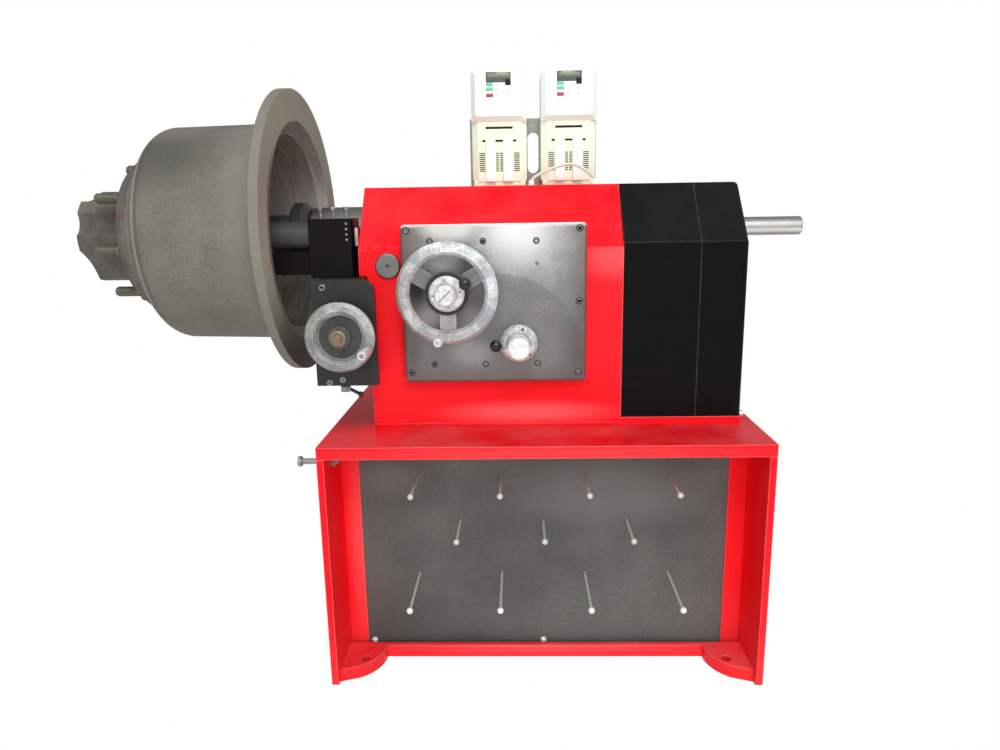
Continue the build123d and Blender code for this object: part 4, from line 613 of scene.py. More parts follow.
def drum_iron(name, tint):
    """Drum's casting: grainy skin outside, tool lines on the flange and on the worn wall inside, with painted
    light, shade and highlights.
    """
    made = Finish(name, (0.0035, 40.0), specular=0.3)
    nodes, place = made.nodes, made.place
    lines = nodes.use("Turning lines", Centre=tuple(SPINDLE), Across=ROUND_X, Lines=420.0)
    skin = nodes.use("Cast skin", Scale=620.0)
    speck = nodes.noise(place, 230.0, 5.0, 0.75)
    _, depth, height = nodes.parts(place)
    along, radius = lines["Along"], lines["Radius"]

    # Turned face of the flange
    tan = nodes.span(nodes.noise(place, 9.0, 4.0, 0.6), 0.35, 0.7)
    made.begin(tan, rgba((0.38, 0.36, 0.29)), rgba((0.50, 0.44, 0.34)))
    made.lay(nodes.times(nodes.span(lines["Lines"], 0.3, 0.7), 0.25), (0.62, 0.57, 0.46))
    made.lay(nodes.span(speck, 0.30, 0.5, 0.5, 0.0), (0.20, 0.17, 0.13))
    # Face darker high up, and much darker low down: painted shade.
    made.lay(nodes.span(height, 0.92, 1.03, 0.0, 0.45), (0.17, 0.165, 0.145))
    made.lay(nodes.span(height, 0.66, 0.84, 0.92, 0.0), (0.03, 0.028, 0.023))
    # Front part of the face at its inner edge darkened: painted shade.
    inner = nodes.times(nodes.span(radius, 0.246, 0.256, 0.8, 0.0), nodes.span(depth, -0.20, -0.12, 1.0, 0.0))
    made.lay(inner, (0.07, 0.066, 0.055))
    face = made.colour

    # Worn wall inside
    streak = nodes.noise(nodes.vector("MULTIPLY", place, (520.0, 10.0, 10.0)), 1.0, 5.0, 0.75)
    made.begin(nodes.span(streak, 0.34, 0.68), rgba((0.11, 0.10, 0.088)), rgba((0.52, 0.48, 0.43)))
    made.lay(nodes.span(radius, 0.2140, 0.2155, 0.0, 0.65), (0.10, 0.092, 0.084))
    # Wall lighter round the height of the axis: painted light.
    pale = nodes.times(nodes.span(height, 0.97, 1.11, 0.72, 0.0), nodes.span(height, 0.84, 0.92))
    made.lay(pale, (0.60, 0.58, 0.55))
    bands = made.colour

    # Skin outside, with a painted highlight on the lip and a dark seam at its end, and the groove behind the
    # flange
    made.shade(nodes.span(skin["Mottle"], 0.3, 0.7), tint, 0.88, 1.10)
    made.lay(nodes.span(speck, 0.52, 0.68, 0.0, 0.6), tint, 1.6)
    made.lay(nodes.span(speck, 0.32, 0.48, 0.6, 0.0), tint, 0.5)
    made.lay(nodes.span(nodes.noise(place, 11.0, 5.0, 0.6), 0.52, 0.78, 0.0, 0.2), (0.20, 0.135, 0.09))
    # Skin lighter toward the flange: painted light.
    made.lay(nodes.span(along, -0.66, -0.57, 0.0, 0.4), tint, 1.6)
    # Skin darker high up toward its left end: painted shade.
    upper_skin_shade = nodes.times(nodes.span(height, 0.99, 1.09, 0.0, 0.75), nodes.span(along, -0.74, -0.60, 1.0, 0.0))
    made.lay(nodes.times(upper_skin_shade, nodes.span(height, 1.11, 1.15, 1.0, 0.0)), tint, 0.45)
    end, neck = DRUM_LOW.x, DRUM_HIGH.x - 0.034
    # A light band near the end: painted highlight on the lip.
    lip = nodes.band(along, (end + 0.012, end + 0.015), (end + 0.020, end + 0.023), 0.7)
    made.lay(lip, (0.33, 0.315, 0.25))
    made.lay(nodes.band(along, (end + 0.023, end + 0.026), (end + 0.028, end + 0.036), 0.5), tint, 0.45)
    made.lay(nodes.band(along, (neck - 0.004, neck), (neck, neck + 0.003), 0.3), tint, 0.5)

    level = nodes.span(nodes.maths("ABSOLUTE", lines["Facing"]), 0.2, 0.5, 1.0, 0.0)
    flat = nodes.times(level, nodes.span(along, DRUM_HIGH.x - 0.021, DRUM_HIGH.x - 0.019))
    wall = nodes.span(lines["Facing"], -0.3, -0.1, 1.0, 0.0)
    cut = nodes.most(wall, flat)
    made.begin(nodes.times(flat, 0.9), made.colour, face)
    made.begin(wall, made.colour, bands)
    # Edges lightened along their whole length: painted edge highlight.
    made.lay(nodes.times(made.edges["Line"], 0.4), tint, 1.7)
    made.set("Metallic", nodes.times(cut, 0.3))
    ridges = nodes.plus(skin["Height"], nodes.times(lines["Lines"], cut))
    made.close(nodes.span(cut, 0.0, 1.0, 0.72, 0.5), ridges, 0.25, 0.0009)


def hub_iron(name, tint, paint):
    """Hub's casting, oily and rusty, with traces of old red paint."""
    made = Finish(name, (0.003, 50.0), specular=0.4)
    nodes, place = made.nodes, made.place
    skin = nodes.use("Cast skin", Scale=360.0)
    along, _, height = nodes.parts(place)
    end = DRUM_LOW.x
    made.shade(nodes.span(skin["Mottle"], 0.3, 0.72), tint, 0.5, 1.6)
    made.lay(nodes.span(nodes.noise(place, 16.0, 6.0, 0.7), 0.5, 0.7, 0.0, 0.22), (0.15, 0.10, 0.075))
    made.lay(nodes.band(along, (end - 0.023, end - 0.020), (end - 0.003, end), 0.5), (0.20, 0.19, 0.185))
    # Grime and painted shade in the corners
    made.soil_and_shade_corners(0.03, 40.0, 0.8, tint, 0.2)
    traces = nodes.span(nodes.noise(place, 24.0, 6.0, 0.7), 0.54, 0.66, 0.0, 0.6)
    made.lay(nodes.times(traces, nodes.span(height, 0.955, 0.985)), paint, 0.4)
    made.lay(nodes.times(made.edges["Mask"], 0.6), tint, 2.8)
    made.close(nodes.span(skin["Mottle"], 0.3, 0.7, 0.5, 0.78), skin["Height"], 0.35, 0.001)


def moulded(name, tint, roughness, specular=0.45, grain=700.0, dirt_and_shade=0.25, cream=None):
    """Moulded plastic or rubber with a fine grain, grime and painted shade in the corners and painted edge
    highlights, and cream low on a case whose sides are painted lighter.
    """
    made = Finish(name, (0.0012, 80.0), specular=specular)
    nodes, place = made.nodes, made.place
    clouds = nodes.noise(place, 18.0, 5.0, 0.6)
    made.shade(nodes.span(clouds, 0.3, 0.7), tint, 0.96, 1.03)
    if cream:
        _, depth, height = nodes.parts(place)
        below = nodes.span(height, 1.1665, 1.1675, 1.0, 0.0)
        made.lay(below, (0.92, 0.95, 0.93))
        made.lay(nodes.times(below, nodes.span(depth, 0.0610, 0.0625)), cream)
        # Faces turned away from the front made lighter and greener: painted light.
        sides = nodes.mix(below, rgba((0.90, 1.0, 0.93)), rgba((0.92, 1.0, 0.86)))
        made.begin(nodes.span(nodes.turned_to(FRONT), 0.75, 0.97, 0.9, 0.0), made.colour, sides)
    # Grime and painted shade in the corners
    made.soil_and_shade_corners(0.014, 50.0, dirt_and_shade, tint, 0.4)
    # Edges lightened along their whole length: painted edge highlight.
    made.lay(nodes.times(made.edges["Line"], 0.2), tint, 1.15)
    skin = nodes.noise(place, grain, 2.0, 0.5)
    made.close(nodes.span(clouds, 0.3, 0.7, roughness, roughness + 0.12), skin, 0.06, 0.0004)


def finish(name):
    """A material of this scene by its name."""
    return bpy.data.materials[name]


# Shapes
SMOOTH_ANGLE = math.radians(35)
SUNK = -0.001


def new_meshes(count):
    """Some empty meshes to model in."""
    return [bmesh.new() for _ in range(count)]


def facing(point, way, turn=0.0):
    """A matrix whose z runs the given way from a point."""
    return (
        Matrix.Translation(point) @ Vector(way).to_track_quat("Z", "Y").to_matrix().to_4x4()
        @ Matrix.Rotation(turn, 4, "Z")
    )


def on_axis(axis, depth, turn=0.0):
    """A place that faces the front at some depth on an axis that runs front to back."""
    return facing((axis.x, depth, axis.z), FRONT, turn)


def on_front(spot, depth):
    """A place that faces the front, given as (x, z) in millimetres and a depth in metres."""
    return facing(Vector((spot[0] / 1000, depth, spot[1] / 1000)), FRONT)


def turned(bm, place, profile, steps=32):
    """Spins a profile of (radius, height) points about the place's z."""
    spots = [bm.verts.new(place @ Vector((radius, 0, height))) for radius, height in profile]
    runs = [bm.edges.new(pair) for pair in zip(spots, spots[1:])]
    bmesh.ops.spin(
        bm, geom=spots + runs, cent=place.translation, axis=place.to_3x3() @ UP, angle=FULL_TURN, steps=steps,
        use_merge=True,
    )


def ring(bm, place, inner, outer, low, high, edge=0.0003, steps=40):
    """A ring with small chamfers on its top."""
    turned(bm, place, [
        (inner, low), (inner, high - edge), (inner + edge, high), (outer - edge, high), (outer, high - edge),
        (outer, low), (inner, low),
    ], steps)


def stacked(bm, place, rings):
    """Bridges circles of (radius, height, sides) into a closed solid."""
    loops = []
    for radius, height, sides in rings:
        seat = place @ Matrix.Translation((0, 0, height))
        made = bmesh.ops.create_circle(bm, segments=sides, radius=radius, matrix=seat)["verts"]
        loops.append(list({edge for vert in made for edge in vert.link_edges}))
    for below, above in zip(loops, loops[1:]):
        bmesh.ops.bridge_loops(bm, edges=below + above)
    for end in (loops[0], loops[-1]):
        bmesh.ops.contextual_create(bm, geom=end)


def slab(bm, low, high, edge, segments=2, place=Matrix()):
    """A block with bevelled edges between two corners."""
    low, high = Vector(low), Vector(high)
    size = Matrix.Diagonal((*(high - low), 1))
    middle = Matrix.Translation((low + high) / 2)
    made = bmesh.ops.create_cube(bm, size=1, matrix=place @ middle @ size)["verts"]
    edges = list({line for vert in made for line in vert.link_edges})
    bmesh.ops.bevel(
        bm, geom=edges, offset=edge, affect="EDGES", segments=segments, profile=0.5, material=-1,
        clamp_overlap=True,
    )


def socket_screw(bm, place, radius, height, turn=0.3):
    """Cap screw head with a hexagon socket."""
    key = radius * 0.52
    stacked(bm, place @ Matrix.Rotation(turn, 4, "Z"), [
        (radius, SUNK, 24), (radius, height - 0.0005, 24), (radius - 0.0005, height, 24),
        (key * 1.2, height, 24), (key, height - 0.0003, 6), (key * 0.97, height - radius * 0.6, 6),
    ])


def button_screw(bm, place, radius, turn=0.0):
    """Domed screw head with a hexagon socket."""
    key = radius * 0.42
    stacked(bm, place @ Matrix.Rotation(turn, 4, "Z"), [
        (radius, SUNK, 24), (radius, 0.0006, 24), (radius * 0.93, radius * 0.3, 24),
        (radius * 0.76, radius * 0.5, 24), (key * 1.15, radius * 0.6, 24), (key, radius * 0.56, 6),
        (key * 0.97, radius * 0.2, 6),
    ])


def screw_circle(bm, axis, depth, circle, count, first, radius, height):
    """Cap screws evenly round an axis that runs front to back, the first at some degrees."""
    for index in range(count):
        turn = math.radians(first + 360 / count * index)
        spot = Vector((axis.x + circle * math.cos(turn), depth, axis.z + circle * math.sin(turn)))
        socket_screw(bm, facing(spot, FRONT), radius, height)


def dial_marks(bm, axis, depth, inner, outer, count, every):
    """Tick marks round a dial's face, each some longer than the rest."""
    for index in range(count):
        start = inner if index % every == 0 else (inner + outer) / 2
        place = on_axis(axis, depth, FULL_TURN * index / count)
        slab(bm, (start, -0.00025, -0.0004), (outer, 0.00025, 0.00012), 0.00004, 1, place)


def piece(name, bm, material, body):
    """Makes the mesh a piece that rides on a body, with the named finish."""
    bmesh.ops.remove_doubles(bm, verts=bm.verts, dist=1e-6)
    bmesh.ops.dissolve_degenerate(bm, edges=bm.edges, dist=1e-6)
    bmesh.ops.recalc_face_normals(bm, faces=bm.faces)
    for face in bm.faces:
        face.smooth = True
    for edge in bm.edges:
        edge.smooth = edge.calc_face_angle(0) < SMOOTH_ANGLE
    mesh = bpy.data.meshes.new(name)
    bm.to_mesh(mesh)
    bm.free()
    mesh.materials.append(finish(material))
    made = bpy.data.objects.new(name, mesh)
    bpy.context.scene.collection.objects.link(made)
    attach(made, body)
    return made


def settings():
    """The lathe's settings."""
    return bpy.context.scene.lathe


# Painted light in the enamel, lighter spots where light falls: x, z, half width, half height and amount
RED_PAINTED_LIGHT = (
    (-0.03, 0.555, 0.25, 0.035, 0.6), (0.15, 0.880, 0.10, 0.06, 0.4), (0.0, 0.045, 0.42, 0.05, 0.5),
    (-0.40, 0.26, 0.04, 0.30, 0.4), (0.0, 0.512, 0.62, 0.024, 0.2),
)
BOARD_PAINTED_LIGHT = ((0.14, 0.37, 0.34, 0.10, 0.45), (-0.33, 0.41, 0.10, 0.06, 0.35))
PLUG_AXIS = (-0.316, 0, 0.868)
BAR_AXIS = (0, -0.0975, 0.932)
PEG_BALL = 0.010

SOLID_FINISHES = {
    "red enamel": (
        "stand_top left_side_panel right_side_panel board_uprights floor_frame head_casing rear_cover"
    ),
    "black enamel": "belt_cover end_cover",
    "board enamel": "peg_board rear_panel",
    "motor enamel": "feed_motor drive_motor pulley_bracket",
    "ground plate": "control_plate",
    "ground bracket": "drive_mount",
    "spindle steel": "spindle",
    "turned spindle": (
        "spindle_bearings pulley_bearing drive_pulley motor_pulley feed_pulley feed_motor_pulley"
    ),
    "oiled quill": "quill",
    "turned plug": "front_plug",
    "milled steel": "feed_shaft tool_bit",
    "crank steel": "feed_grip cross_grip",
    "blackened steel": "feed_rack centring_cones arbor_nut clamp_screws slide_lock",
    "black collar": "clamp_collar",
    "black tooling": "tool_post",
    "black bar": "tool_arm",
    "black slide": "cross_slide_base cross_slide_plate cross_carriage",
    "peg plate": "hanging_pegs",
    "zinc plate": "base_bolts",
    "dull zinc": "hanger_bolt",
    "bearing bronze": "bronze_bushes cross_nut",
    "buff nut": "cross_end_nut cross_screw",
    "stud steel": "wheel_studs",
    "feed wheel plate": "feed_handwheel",
    "cross wheel plate": "cross_handwheel",
    "clutch plate": "clutch_dial clutch_knob",
    "selector plate": "selector_dial",
    "selector knob plate": "selector_knob",
    "drum iron": "brake_drum",
    "hub iron": "wheel_hub",
    "ivory case": "motor_drives",
    "lead sheath": "motor_lead",
    "belt rubber": "feed_belt drive_belt",
}


# Operators
class LATHE_OT_finishes(bpy.types.Operator):
    """Make the finishes and give one to each solid"""

    bl_idname = "lathe.finishes"
    bl_label = "Finishes"

    def execute(self, context):
        lathe = settings()
        for make in (
            make_rubbed_edges, make_settled_dust, make_corner_shade_and_grime, make_turning_lines, make_drawn_grain,
            make_scratches, make_cast_skin,
        ):
            make()
        self.make_enamels(lathe.enamel)
        self.make_metals(lathe.metal, lathe.enamel)
        self.make_plastics(lathe.plastic)
        for name, nodes in SOLID_FINISHES.items():
            for node in nodes.split():
                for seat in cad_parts[node].material_slots:
                    seat.material = finish(name)
        return {"FINISHED"}

    def make_enamels(self, paint):
        """The painted finishes."""
        wear, dust = paint.wear, paint.dust
        enamel("red enamel", paint.red, (1.0, 0.34, 0.34), 0.30, 0.075, wear * 0.4, dust * 1.4, edge=0.42,
               dust_tint=(0.72, 0.19, 0.20), haze=0.12, front_sheen=0.10, level=0.5, painted_light_spots=RED_PAINTED_LIGHT)
        # Red enamel darkened to painted shade, for the dark red lug.
        enamel("maroon enamel", (0.040, 0.004, 0.006), (0.16, 0.06, 0.05), 0.42, 0.25, wear, dust * 0.2)
        enamel("black enamel", paint.black, (0.10, 0.10, 0.10), 0.38, 0.09, wear, dust * 1.6, 0.012,
               dust_tint=(0.04, 0.04, 0.04), edge=0.42, grain=0.5)
        enamel("board enamel", paint.board, (0.30, 0.29, 0.26), 0.55, 0.22, wear * 0.5, dust, 0.03, 0.12,
               (0.30, 0.29, 0.26), cloud=0.22, grain=0.4, painted_light_tint=(0.22, 0.22, 0.21), painted_light_spots=BOARD_PAINTED_LIGHT)
        enamel("motor enamel", paint.motor, (0.42, 0.42, 0.40), 0.42, 0.40, wear, dust, 0.05)

    def make_metals(self, metal, paint):
        """The bare metal finishes."""
        slide = {"stretch": (60.0, 500.0, 500.0), "metallic": 0.6, "stain": 0.5, "groove": 0.08}
        plated = {"stretch": (400.0, 60.0, 400.0), "metallic": 0.2, "stain": 0.12}
        ground_plate("ground plate", metal.plate)
        steel("ground bracket", (0.44, 0.44, 0.41), 0.42, stretch=(30.0, 600.0, 500.0))
        steel("turned spindle", metal.turned, 0.38, SPINDLE)
        spindle_steel("spindle steel", metal.turned, metal.oiled)
        steel("oiled quill", metal.oiled, 0.34, SPINDLE, stain=0.5)
        steel("turned plug", (0.36, 0.36, 0.34), 0.38, PLUG_AXIS, ROUND_Y, groove=0.2)
        steel("milled steel", metal.turned, 0.38)
        steel("crank steel", (0.86, 0.86, 0.84), 0.38, stretch=(700.0, 40.0, 700.0), metallic=0.6, stain=0.15)
        steel("blackened steel", metal.dark, 0.40, **slide)
        steel("black tooling", (0.007, 0.0065, 0.006), 0.5, stretch=(500.0, 500.0, 40.0), metallic=0.0,
              groove=0.1, specular=0.12)
        steel("black bar", (0.09, 0.09, 0.087), 0.38, BAR_AXIS, metallic=0.35, stain=0.6, specular=0.4)
        steel("black collar", (0.045, 0.045, 0.043), 0.36, SPINDLE, metallic=0.4, stain=0.5, specular=0.4)
        steel("dull zinc", (0.34, 0.34, 0.32), 0.40, stretch=(60.0, 400.0, 400.0), metallic=0.6, stain=0.4)
        steel("black slide", (0.046, 0.046, 0.042), 0.40, **slide)
        steel("zinc plate", metal.zinc, 0.38, **plated)
        steel("peg plate", metal.zinc, 0.38, dull_from=corners("hanging_pegs")[0].y + PEG_BALL, **plated)
        steel("bearing bronze", metal.bronze, 0.34, SPINDLE)
        steel("buff nut", metal.buff, 0.36, CROSS_AXIS, ROUND_Y, metallic=0.7)
        steel("stud steel", (0.175, 0.178, 0.125), 0.42, SPINDLE, metallic=0.5)
        plated_wheel("feed wheel plate", metal.chrome, FEED_AXIS, 0.0720, (0.42, 0.42, 0.41), 0.85)
        plated_wheel("cross wheel plate", (0.60, 0.60, 0.57), CROSS_AXIS, 0.0425, (0.056, 0.057, 0.052), 0.0,
                     0.021)
        bright_plate("clutch plate", (0.76, 0.76, 0.75), FEED_AXIS)
        bright_plate("selector plate", metal.dial, CHOICE_AXIS)
        bright_plate("selector knob plate", metal.chrome, CHOICE_AXIS)
        drum_iron("drum iron", metal.iron)
        hub_iron("hub iron", metal.hub, paint.red)

    def make_plastics(self, plastic):
        """The moulded finishes."""
        moulded("ivory case", plastic.ivory, 0.42, dirt_and_shade=0.08, cream=(0.84, 0.89, 0.67))
        moulded("knob plastic", plastic.knob, 0.13, specular=0.6, dirt_and_shade=0.1)
        moulded("window film", plastic.window, 0.13, specular=0.6, dirt_and_shade=0.2)
        moulded("digit band", plastic.band, 0.30, specular=0.6)
        moulded("green key", plastic.green_key, 0.40)
        moulded("red key", plastic.red_key, 0.40)
        moulded("grey key", plastic.grey_key, 0.45)
        moulded("dark slot", (0.012, 0.011, 0.010), 0.6, specular=0.3)
        moulded("lead sheath", plastic.lead, 0.48, dirt_and_shade=0.3)
        moulded("belt rubber", plastic.belt, 0.7, specular=0.3, grain=300.0)
        moulded("marking paint", (0.03, 0.03, 0.032), 0.5)


# Screws on the front as (x, z) in millimetres
PLATE_CORNERS = [(-272.9, 939.5), (74.4, 940.1), (73.7, 648.0), (-272.4, 648.9), (74.3, 794.7)]
PLATE_ROWS = [
    (-226.0, 918.0), (-119.0, 917.0), (-12.0, 916.5), (-224.0, 666.0), (-118.0, 666.0), (-10.0, 667.0),
]
OIL_HOLE = (-11.0, 871.0)
SLIDE_SCREWS = [(-434.0, 834.0), (-404.0, 648.0), (-431.0, 642.0)]
BOARD_BOLTS = [(-384.0, 24.5), (0.0, 24.5)]
BOLT_DOME = [
    (0, 0.0058), (0.0028, 0.0054), (0.0052, 0.0040), (0.0067, 0.0018), (0.0069, 0.0), (0.0069, SUNK),
    (0, SUNK),
]
OIL_CUP = [(0, 0.0002), (0.001, 0.0), (0.0016, -0.0006), (0.0016, SUNK), (0, SUNK)]


class LATHE_OT_plate_screws(bpy.types.Operator):
    """Cap screws of the control plate with thin dark rings of painted shadow round them, and its oil hole
    with one too
    """

    bl_idname = "lathe.plate_screws"
    bl_label = "Plate screws"

    def execute(self, context):
        sizes = settings().fittings
        heads, shadow_rings = new_meshes(2)
        for spots, radius in ((PLATE_CORNERS, sizes.cap_screw), (PLATE_ROWS, sizes.row_screw)):
            for index, spot in enumerate(spots):
                place = on_front(spot, PLATE_LOW.y)
                socket_screw(heads, place, radius, 0.0008, 0.5 * index)
                # Thin dark rings laid on the plate: painted shadow of the counterbores.
                ring(shadow_rings, place, radius + 0.0002, radius + sizes.well, SUNK, 0.0004, 0.0002)
        oil = on_front(OIL_HOLE, PLATE_LOW.y)
        # A dark ring round the oil hole: painted shadow.
        ring(shadow_rings, oil, 0.0016, 0.0032, SUNK, 0.0005)
        turned(heads, oil, OIL_CUP, 16)
        piece("plate_screws", heads, "turned plug", "frame")
        piece("plate_screw_wells", shadow_rings, "blackened steel", "frame")
        return {"FINISHED"}


class LATHE_OT_front_buttons(bpy.types.Operator):
    """Domed bolts along the foot of the peg board and screws of the slide's front plate"""

    bl_idname = "lathe.front_buttons"
    bl_label = "Front buttons"

    def execute(self, context):
        bolts, screws = new_meshes(2)
        for spot in BOARD_BOLTS:
            turned(bolts, on_front(spot, corners("peg_board")[0].y), BOLT_DOME)
        piece("board_bolts", bolts, "zinc plate", "frame")
        for index, spot in enumerate(SLIDE_SCREWS):
            place = on_front(spot, corners("cross_slide_plate")[0].y)
            socket_screw(screws, place, 0.0045, 0.0010, 0.4 * index)
            ring(screws, place, 0.0048, 0.0062, SUNK, 0.0004)
        piece("slide_screws", screws, "dull zinc", "frame")
        return {"FINISHED"}


END_SCREWS = ((-0.105, 0.57), (0.195, 0.57), (0.195, 0.995), (0.01, 1.005))
COVER_MARGIN = 0.012
PANEL_MARGIN = 0.03
LOUVRES = 7
LOUVRE_PITCH = 0.03
LOUVRE_LEAN = math.radians(24)
LIP_LOW = (-0.357, -0.1335, 0.527)
LIP_HIGH = (0.166, -0.128, 0.5345)


class LATHE_OT_cover_fittings(bpy.types.Operator):
    """Screws of the rear cover, end cover and rear panel, the louvres, and the lip under the head"""

    bl_idname = "lathe.cover_fittings"
    bl_label = "Cover fittings"

    def execute(self, context):
        radius = settings().fittings.button
        low, high = corners("rear_cover")
        middle = (low + high) / 2
        screws, black, louvres, lip = new_meshes(4)
        for x in (low.x + COVER_MARGIN, middle.x, high.x - COVER_MARGIN):
            for z in (low.z + COVER_MARGIN, middle.z, high.z - COVER_MARGIN):
                if abs(x - middle.x) + abs(z - middle.z) > 0.01:
                    button_screw(screws, facing((x, high.y, z), BACK), radius, x + z)
        panel_low, panel_high = corners("rear_panel")
        for x in (panel_low.x + PANEL_MARGIN, (panel_low.x + panel_high.x) / 2, panel_high.x - PANEL_MARGIN):
            for z in (panel_low.z + PANEL_MARGIN, panel_high.z - PANEL_MARGIN):
                button_screw(screws, facing((x, panel_high.y, z), BACK), radius, x + z)
        for y, z in END_SCREWS:
            button_screw(black, facing((corners("end_cover")[1].x, y, z), RIGHT), radius, y)
        for index in range(LOUVRES):
            z = middle.z + LOUVRE_PITCH * (index - (LOUVRES - 1) / 2)
            lean = Matrix.Translation((middle.x, high.y, z)) @ Matrix.Rotation(LOUVRE_LEAN, 4, "X")
            slab(louvres, (-0.085, -0.006, -0.009), (0.085, 0.0035, 0.009), 0.0032, 4, lean)
        slab(lip, LIP_LOW, LIP_HIGH, 0.0015)
        piece("cover_screws", screws, "zinc plate", "frame")
        piece("end_cover_screws", black, "blackened steel", "frame")
        piece("rear_louvres", louvres, "red enamel", "frame")
        piece("head_lip", lip, "red enamel", "frame")
        return {"FINISHED"}


DRIVE_WIDTH = 0.122
# Parts of a drive's front in millimetres: kind, left and right of its middle, low and high, near and far
# behind the front, and edge
DRIVE_PARTS = [
    ("window", -26.8, 26.8, 1247.8, 1268.8, 0.4, 4.0, 0.6),
    ("band", -23.5, 23.5, 1258.8, 1266.2, 0.0, 2.0, 0.4),
    ("fill", -26.9, 15.0, 1243.1, 1247.6, 0.3, 4.0, 0.4),
    ("dark", 15.3, 27.0, 1241.6, 1254.5, -0.8, 2.0, 0.8),
    ("green_key", -26.8, -11.4, 1240.0, 1248.0, -0.9, 2.0, 1.2),
    ("green_key", -26.8, -11.4, 1230.2, 1238.2, -0.9, 2.0, 1.2),
    ("red_key", -26.8, -11.4, 1217.4, 1225.4, -0.9, 2.0, 1.2),
    ("grey_key", -5.1, 2.1, 1241.2, 1244.8, -0.4, 2.0, 0.6),
    ("grey_key", -5.1, 2.1, 1231.2, 1234.8, -0.4, 2.0, 0.6),
    ("grey_key", -5.1, 2.1, 1220.2, 1223.8, -0.4, 2.0, 0.6),
    ("grey_key", 16.4, 23.6, 1231.2, 1234.8, -0.4, 2.0, 0.6),
    ("grey_key", 16.4, 23.6, 1220.2, 1223.8, -0.4, 2.0, 0.6),
    ("dark", -29.9, 29.9, 1153.2, 1157.8, 15.8, 18.0, 0.2),
    ("dark", -38.0, -30.5, 1125.5, 1130.0, 15.5, 18.0, 0.4),
    ("dark", -8.5, 8.5, 1125.5, 1130.0, 15.5, 18.0, 0.4),
    ("dark", 30.5, 38.0, 1125.5, 1130.0, 15.5, 18.0, 0.4),
    ("foot", -58.0, 58.0, 1028.2, 1041.0, 18.0, 110.0, 1.5),
]
VENT_COLUMNS = ((-45.0, -32.5), (-7.5, -1.2), (1.2, 7.5), (32.5, 45.0))
VENT_ROWS = 10
VENT_TOP = 1101.0
VENT_PITCH = 4.2
VENT_HALF = 1.1
DRIVE_PIECES = (
    ("drive_feet", "foot", "ivory case", "ivory_plastic"),
    ("drive_windows", "window", "window film", "black_knob"),
    ("drive_digit_bands", "band", "digit band", "black_knob"),
    ("drive_window_fills", "fill", "ivory case", "ivory_plastic"),
    ("drive_dark_openings", "dark", "dark slot", "black_knob"),
    ("drive_green_keys", "green_key", "green key", "ivory_plastic"),
    ("drive_red_keys", "red_key", "red key", "ivory_plastic"),
    ("drive_grey_keys", "grey_key", "grey key", "ivory_plastic"),
)


class LATHE_OT_drive_fronts(bpy.types.Operator):
    """Windows, keys, terminal openings, vent slots and feet of the motor drives"""

    bl_idname = "lathe.drive_fronts"
    bl_label = "Drive fronts"

    def execute(self, context):
        meshes = {kind: bmesh.new() for _, kind, _, _ in DRIVE_PIECES}
        rows = [VENT_TOP - VENT_PITCH * row for row in range(VENT_ROWS)]
        vents = [
            ("dark", left, right, height - VENT_HALF, height + VENT_HALF, 15.6, 18.0, 0.2)
            for left, right in VENT_COLUMNS for height in rows
        ]
        for x in (DRIVES_LOW.x + DRIVE_WIDTH / 2, DRIVES_HIGH.x - DRIVE_WIDTH / 2):
            origin = Vector((x, DRIVES_LOW.y, 0))
            for parts, segments in ((DRIVE_PARTS, 2), (vents, 1)):
                for kind, left, right, low, high, near, far, edge in parts:
                    start = origin + Vector((left, near, low)) / 1000
                    end = origin + Vector((right, far, high)) / 1000
                    slab(meshes[kind], start, end, edge / 1000, segments)
        for name, kind, material, slot in DRIVE_PIECES:
            piece(name, meshes[kind], material, "frame")
        return {"FINISHED"}


# The lead's run across and up from its first gland, in millimetres
LEAD_ROUTE = [(0, 4), (0, 14), (18, 25), (56, 41), (92, 47), (120, 31), (138, 16), (138, 4)]
LEAD_RADIUS = 0.0035
GLAND_RADIUS = 0.0085
GLAND = [
    (GLAND_RADIUS, 0, 6), (GLAND_RADIUS, 0.003, 6), (0.0080, 0.0036, 24), (0.0062, 0.0038, 24),
    (0.0058, 0.0100, 24), (0.0040, 0.0125, 24),
]


class LATHE_OT_lead(bpy.types.Operator):
    """White lead that humps from gland to gland in front of the drives"""

    bl_idname = "lathe.lead"
    bl_label = "Lead"

    def execute(self, context):
        low, high = corners("motor_lead")
        start = Vector((low.x + 0.008, (low.y + high.y) / 2, low.z))
        points = [start + Vector((along / 1000, 0, up / 1000)) for along, up in LEAD_ROUTE]
        line = bpy.data.curves.new("motor_lead_sheath", "CURVE")
        line.dimensions = "3D"
        line.bevel_depth = LEAD_RADIUS
        line.bevel_resolution = 5
        line.resolution_u = 16
        line.use_fill_caps = True
        run = line.splines.new("NURBS")
        run.points.add(len(points) - 1)
        for seat, point in zip(run.points, points):
            seat.co = (*point, 1)
        run.order_u = 3
        run.use_endpoint_u = True
        line.materials.append(finish("lead sheath"))
        lead = bpy.data.objects.new("motor_lead_sheath", line)
        context.scene.collection.objects.link(lead)
        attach(lead, "frame")
        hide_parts("motor_lead")
        glands = bmesh.new()
        for end in (points[0], points[-1]):
            stacked(glands, facing((end.x, end.y, low.z), UP), GLAND)
        nuts = piece("lead_glands", glands, "ivory case", "frame")
        return {"FINISHED"}


CLUTCH_RING_BACK = -0.2135
SCALLOPS = 24
KNOB_RADIUS = 0.0176
KNOB_SLOT_TURN = math.radians(42)


